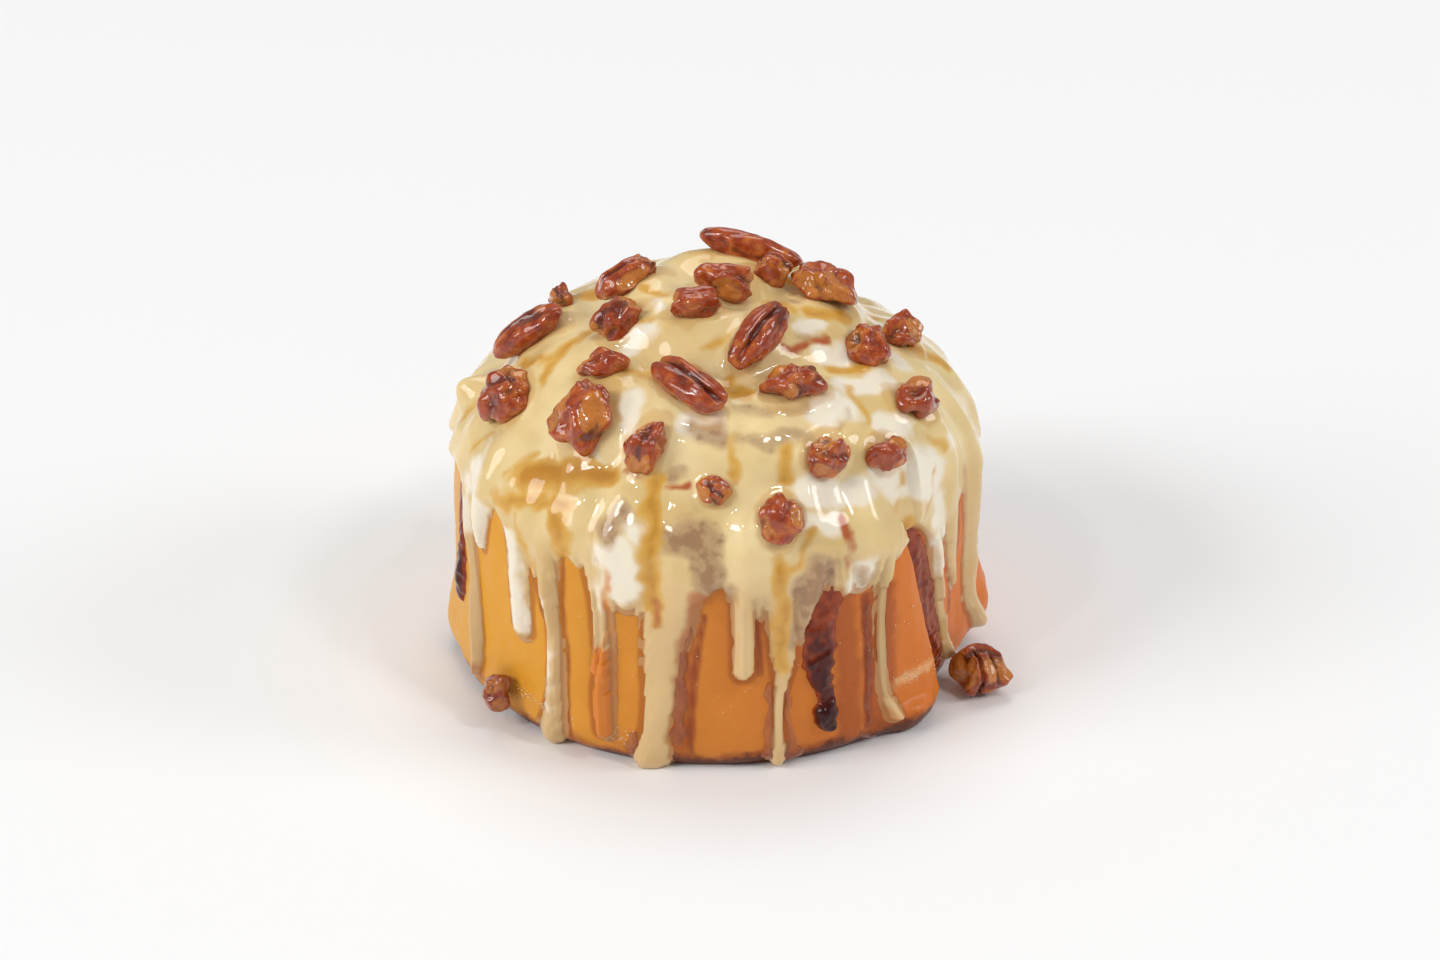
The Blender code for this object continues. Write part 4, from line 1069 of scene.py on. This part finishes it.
def makeIcing(material, feet):
    drips = [(laidStroke(stations), thick, lift) for stations, thick, lift in pouredDrips()]
    edge = np.array(icing["edge"], float)
    knobAngle, knobHeight, knobWidth, knobOut = icing["knob"]
    knobAt = onSide(knobAngle, float(distanceAtHeight(knobHeight)), 0)

    def height(angle, distance):
        points = onSide(angle, distance, 0)
        level = np.interp(wrapped(angle), edge[:, 0], edge[:, 1])
        isBack = smooth((abs(wrapped(angle)) - 95) / 15)
        waves = sum(
            rise * np.sin(np.radians(turns * angle + start))
            for rise, turns, start in icing["backWaves"]
        )
        depth = distanceAtHeight(level + isBack * waves) - distance
        weight = np.exp(np.clip(depth, -6, 6) / icing["blend"])
        thickness, width = icing["thickness"] * weight, icing["edgeWidth"] * weight
        high = smooth((points[:, 2] - icing["easeFrom"]) / icing["easeReach"])
        ease = icing["easeLow"] + (icing["easeHigh"] - icing["easeLow"]) * high
        for line, thick, lift in drips:
            deep, values = insideStroke(points, line, 6)
            half = np.maximum(values[:, 0], 0.5)
            pull = np.exp(np.clip(deep, -6, 6) / icing["blend"]) * (deep > -5.9)
            thickness = thickness + pull * (thick + lift) * np.clip(0.62 + half / 5, 0.6, 1)
            width = width + pull * np.minimum(half, icing["dripWidth"])
            weight = weight + pull
            depth = joined(depth, deep, ease)
        thickness, width = thickness / weight, width / weight
        shoulder = smooth((distance - icing["streaksFrom"]) / icing["streaksReach"])
        flow = np.stack([np.radians(angle) * bun["wallRadius"], distance * 0.12, 0 * angle], -1)
        swell = sum(rise * ripple(points, size, seed) for rise, size, seed in icing["swells"])
        rise, size, seed = icing["streaks"]
        thickness = thickness * (1 + swell + rise * shoulder * ripple(flow, size, seed))
        for pecanFoot in feet:
            gap = np.maximum(pecanGap(points, pecanFoot), 0)
            thickness = thickness + icing["collarHeight"] * hump(gap, icing["collarReach"])
        rounded = 1 - (1 - np.clip(depth / width, 0, 1)) ** icing["roundness"]
        knob = hump(np.linalg.norm((points - knobAt) * (1, 1, 0.72), axis=1), knobWidth / 2.6)
        return np.where(depth > 0, thickness * rounded, sunkOutside(depth)) + knobOut * knob

    def tints(angle, distance):
        points = onSide(angle, distance, 0)
        for stray in icing["strays"]:
            points = strayed(points, *stray)
        behind = backStrokes()
        fields = {
            kind: strokesDepth(points, photoStrokes(icing[kind]) + behind.get(kind, []))
            for kind in ("caramel", "milky", "spice", "bare", "toffee", "orange")
        }
        fields["low"] = icing["lowFrom"] - points[:, 2]
        # an amber ring on the icing around each pecan: partly caramel at the pecan's edge, partly
        # painted shade where the pecan meets the icing
        fields["collar"] = 1 - np.min([pecanGap(points, pecanFoot) for pecanFoot in feet], axis=0)
        return fields

    mesh = pour(
        "poured_icing", icing["spacing"], height, icing["underside"], tints, icing["rows"],
        lean=alongDrips,
    )
    print("maple icing:", sum(len(face.vertices) - 2 for face in mesh.polygons), "triangles")
    return newObject("poured_icing", mesh, ["maple_icing"], material)


def icingMaterial():
    # cooked maple icing with cream: opaque beige, wet and smooth, thin and warm at its edges,
    # streaked with clear amber caramel and whiter cream, the whiter patches partly painted highlights
    material, tree, shader, place = newMaterial(
        "maple_cream_icing",
        **{"Roughness": 0.3, "IOR": 1.46, "Specular IOR Level": 0.15,
           "Coat Weight": 0.8, "Coat Roughness": 0.04,
           "Subsurface Weight": 0.2, "Subsurface Radius": (1.0, 0.62, 0.3), "Subsurface Scale": 0.0015},
    )
    cream = clouded(tree, noise(tree, place, 55.0, 3.0), (0.35, "#DEBF80"), (0.68, "#F3DCA6"))
    colour = stained(
        tree, place, cream,
        ("low", 3, 11, 3, 12, "#D8B27C", 0.7),
        # whiter patches: partly whiter cream, partly painted highlights
        ("milky", -0.1, 1.1, 0.8, 5, "#F6ECD8", 0.92),
        ("spice", 0.2, 1.2, 0.6, 4, "#B8956E", 0.85),
        ("spice", 2.3, 1.2, 2.2, 2.0, "#86583F", 0.5),
        ("bare", 0.3, 0.7, 0.4, 3, "#B4521E", 0.95),
        ("caramel", -0.2, 0.8, 0.5, 4, "#DAA43C", 0.85),
        ("caramel", 1.4, 1.3, 0.7, 4, "#BE7C1C", 0.8),
        ("toffee", 0.5, 1.0, 0.5, 3, "#B4662E", 0.85),
        # amber ring around each pecan: partly caramel, partly painted shade where the pecan meets the
        # icing
        ("collar", 0.6, 0.4, 0.3, 3, "#C88C2C", 0.3),
        ("orange", 0.1, 0.8, 0.2, 3, "#DA7A0A", 0.97),
    )
    thin = ranged(tree, valueOf(tree, "height"), 0.7, 0.0, 0, 0.8)
    rim = mixed(tree, thin, colour, srgb("#BC7C3A"))
    tree.links.new(rim, shader.inputs["Base Color"])
    bumped(tree, shader, noise(tree, place, 260.0, 2.0), 0.3, 0.0008)
    return material


# Clear caramel that has run down the wall: width, thickness and points of the photograph
sauce = dict(
    spacing=0.42, patch=(-68, 80, 78, 128.5), underside=-0.8, edgeWidth=1.4, roundness=2.2,
    stray=(0.3, 6, 81), stopsAbove=0.8,
    runs=(
        # the first run's dark tone is partly a darker caramel film, partly painted shade beside the
        # caramel sheet
        (1.8, 0.4, 0.7, (869, 604), (871, 660), (871, 728)),
        (2.6, 0.6, 0.4, (632, 736), (634, 760)),
        (2.4, 0.6, 0.2, (769, 685), (769, 742), (768, 754)),
        (2.2, 0.6, 0.2, (790, 685), (792, 742), (796, 752)),
        (3.6, 0.9, 0.5, (768, 757), (784, 760), (798, 756)),
        (3.2, 0.5, 0.5, (688, 630), (681, 664), (679, 704), (677, 742)),
        (2.2, 0.6, 0.7, (866, 734), (876, 740), (892, 736)),
    ),
)


def makeSauce(material):
    lines = [(photoStroke(width, *spots), thick, tone) for width, thick, tone, *spots in sauce["runs"]]

    def deepest(points):
        points = strayed(points, *sauce["stray"])
        depth, thickness, tone = (np.full(len(points), start) for start in (-5.0, 0.5, 0.0))
        for line, thick, shade in lines:
            deep, _ = insideStroke(points, line)
            thickness = np.where(deep > depth, thick, thickness)
            tone = np.where(deep > depth, shade, tone)
            depth = joined(depth, deep, 1.0)
        return depth, thickness, tone

    def height(angle, distance):
        depth, thickness, _ = deepest(onSide(angle, distance, 0))
        rounded = 1 - (1 - np.clip(depth / sauce["edgeWidth"], 0, 1)) ** sauce["roundness"]
        height = np.where(depth > 0, thickness * rounded, sunkOutside(depth))
        return np.where(distance > foot - sauce["stopsAbove"], -1, height)

    def tints(angle, distance):
        return {"shade": deepest(onSide(angle, distance, 0))[2]}

    mesh = pour(
        "run_caramel", sauce["spacing"], height, sauce["underside"], tints, patch=sauce["patch"],
    )
    print("caramel sauce:", len(mesh.polygons), "faces")
    return newObject("run_caramel", mesh, [], material)


def sauceMaterial():
    # boiled caramel: clear orange amber with a wet, mirror-like skin
    material, tree, shader, place = newMaterial(
        "clear_caramel",
        **{"Roughness": 0.08, "IOR": 1.48, "Coat Weight": 0.8, "Coat Roughness": 0.03,
           "Subsurface Weight": 0.3, "Subsurface Radius": (1.0, 0.4, 0.1), "Subsurface Scale": 0.002},
    )
    amber = clouded(tree, noise(tree, place, 160.0, 3.0), (0.35, "#B85C1E"), (0.65, "#D07A2A"))
    colour = stained(tree, place, amber, ("shade", 0.5, 0.5, 0.1, 3, "#7E3018", 0.9))
    tree.links.new(colour, shader.inputs["Base Color"])
    body = ranged(tree, valueOf(tree, "height"), -0.05, 0.5, 0, 0.7)
    tree.links.new(body, shader.inputs["Alpha"])
    return material


# Sugar grains baked onto the crust near the foot: photograph spot, spread and how many
grains = dict(
    patches=(
        ((528, 700), 3.0, 50), ((590, 724), 3.2, 60), ((616, 738), 2.6, 50), ((914, 676), 3.0, 90),
        ((930, 668), 2.6, 60), ((720, 700), 14, 26), ((578, 640), 9, 14), ((905, 620), 8, 14),
    ),
    backCount=70, backArc=(95, 265), backHeights=(3, 9), lowest=2.5, size=(0.1, 0.22), seed=9,
)


def makeGrains(material):
    draw = random.Random(grains["seed"])
    spots = []
    for spot, spread, count in grains["patches"]:
        angle, distance = seenOnBun([spot])
        for _ in range(count):
            aside = math.degrees(draw.gauss(0, spread) / bun["wallRadius"])
            spots.append((angle[0] + aside, distance[0] + 0.45 * draw.gauss(0, spread)))
    for _ in range(grains["backCount"]):
        angle = draw.uniform(*grains["backArc"])
        spots.append((angle, distanceAtHeight(draw.uniform(*grains["backHeights"]))))
    bm = bmesh.new()
    lowest = distanceAtHeight(grains["lowest"])
    for angle, distance in spots:
        size = draw.uniform(*grains["size"])
        place = Vector(onDough(angle, min(distance, lowest), 0.3 * size))
        turn = Matrix.Rotation(draw.uniform(0, math.tau), 4, "Z")
        turn = turn @ Matrix.Rotation(draw.uniform(0, 3), 4, "X")
        shape = Matrix.Translation(place) @ turn @ Matrix.Diagonal((1, 0.8, draw.uniform(0.7, 1), 1))
        bmesh.ops.create_icosphere(bm, subdivisions=1, radius=size, matrix=shape)
    bmesh.ops.scale(bm, vec=(mm, mm, mm), verts=bm.verts)
    mesh = meshFrom(bm, "sugar_grains")
    piece = newObject("sugar_grains", mesh, [], material)
    mesh.shade_flat()
    print("sugar grains:", len(spots))
    return piece


def grainMaterial():
    # melted sugar crystals: pale amber, sharp glints
    material, tree, shader, place = newMaterial(
        "toasted_sugar", **{"Roughness": 0.12, "IOR": 1.54, "Coat Weight": 0.5, "Coat Roughness": 0.03},
    )
    amber = clouded(tree, noise(tree, place, 600.0, 2.0), (0, "#E8B878"), (1, "#FFF4DC"))
    tree.links.new(amber, shader.inputs["Base Color"])
    return material


# Studio: a pale floor, soft boxes left, right and overhead; strength is the light a white card
# facing the box would show, and all stand far off so that the floor stays even
studio = dict(
    floorColour="#F6F6F6", floorSize=6, worldStrength=0.30, distance=4.0,
    lights=(
        ("leftSoftbox", (-0.80, -0.34, 0.50), 2.0, 0.36),
        ("leftKey", (-0.62, -0.50, 0.60), 0.7, 0.13),
        ("rightSoftbox", (0.86, -0.12, 0.50), 1.5, 0.24),
        ("rightKey", (0.50, -0.40, 0.76), 0.6, 0.12),
        ("topSoftbox", (0.0, 0.40, 0.92), 2.4, 0.26),
        ("leftSpark", (-0.42, -0.52, 0.74), 0.2, 0.045),
        ("rightSpark", (0.36, -0.30, 0.88), 0.16, 0.035),
    ),
)


def makeStudio():
    scene = bpy.context.scene
    bm = bmesh.new()
    bmesh.ops.create_grid(bm, x_segments=2, y_segments=2, size=studio["floorSize"])
    floor = placed("floor", meshFrom(bm, "floor"))
    material, _, shader, _ = newMaterial("pale_floor", **{"Roughness": 0.9, "Specular IOR Level": 0.1})
    shader.inputs["Base Color"].default_value = srgb(studio["floorColour"])
    floor.data.materials.append(material)
    for name, heading, size, strength in studio["lights"]:
        light = bpy.data.lights.new(name, "AREA")
        light.shape, light.size = "DISK", size
        light.energy = strength * (math.pi * studio["distance"]) ** 2
        lamp = placed(name, light)
        lamp.location = Vector(heading).normalized() * studio["distance"]
        lamp.rotation_euler = Vector(heading).to_track_quat("Z", "Y").to_euler()
    scene.world = bpy.data.worlds.new("studio")
    scene.world.use_nodes = True
    sky = scene.world.node_tree.nodes["Background"]
    sky.inputs["Color"].default_value = (1, 1, 1, 1)
    sky.inputs["Strength"].default_value = studio["worldStrength"]
    scene.view_settings.view_transform = "Standard"
    eye = bpy.data.cameras.new("camera")
    eye.lens, eye.sensor_width = photo["lens"], photo["sensor"]
    scene.camera = placed("camera", eye)
    scene.camera.location = Vector(photo["place"]) * mm
    scene.camera.rotation_euler = (math.radians(90 - photo["down"]), 0, 0)


makeStudio()
makeDough(doughMaterial())
makeFilling(fillingMaterial())
pecanFeet = makePecans(pecanMaterial())
makeIcing(icingMaterial(), pecanFeet)
makeSauce(sauceMaterial())
makeGrains(grainMaterial())
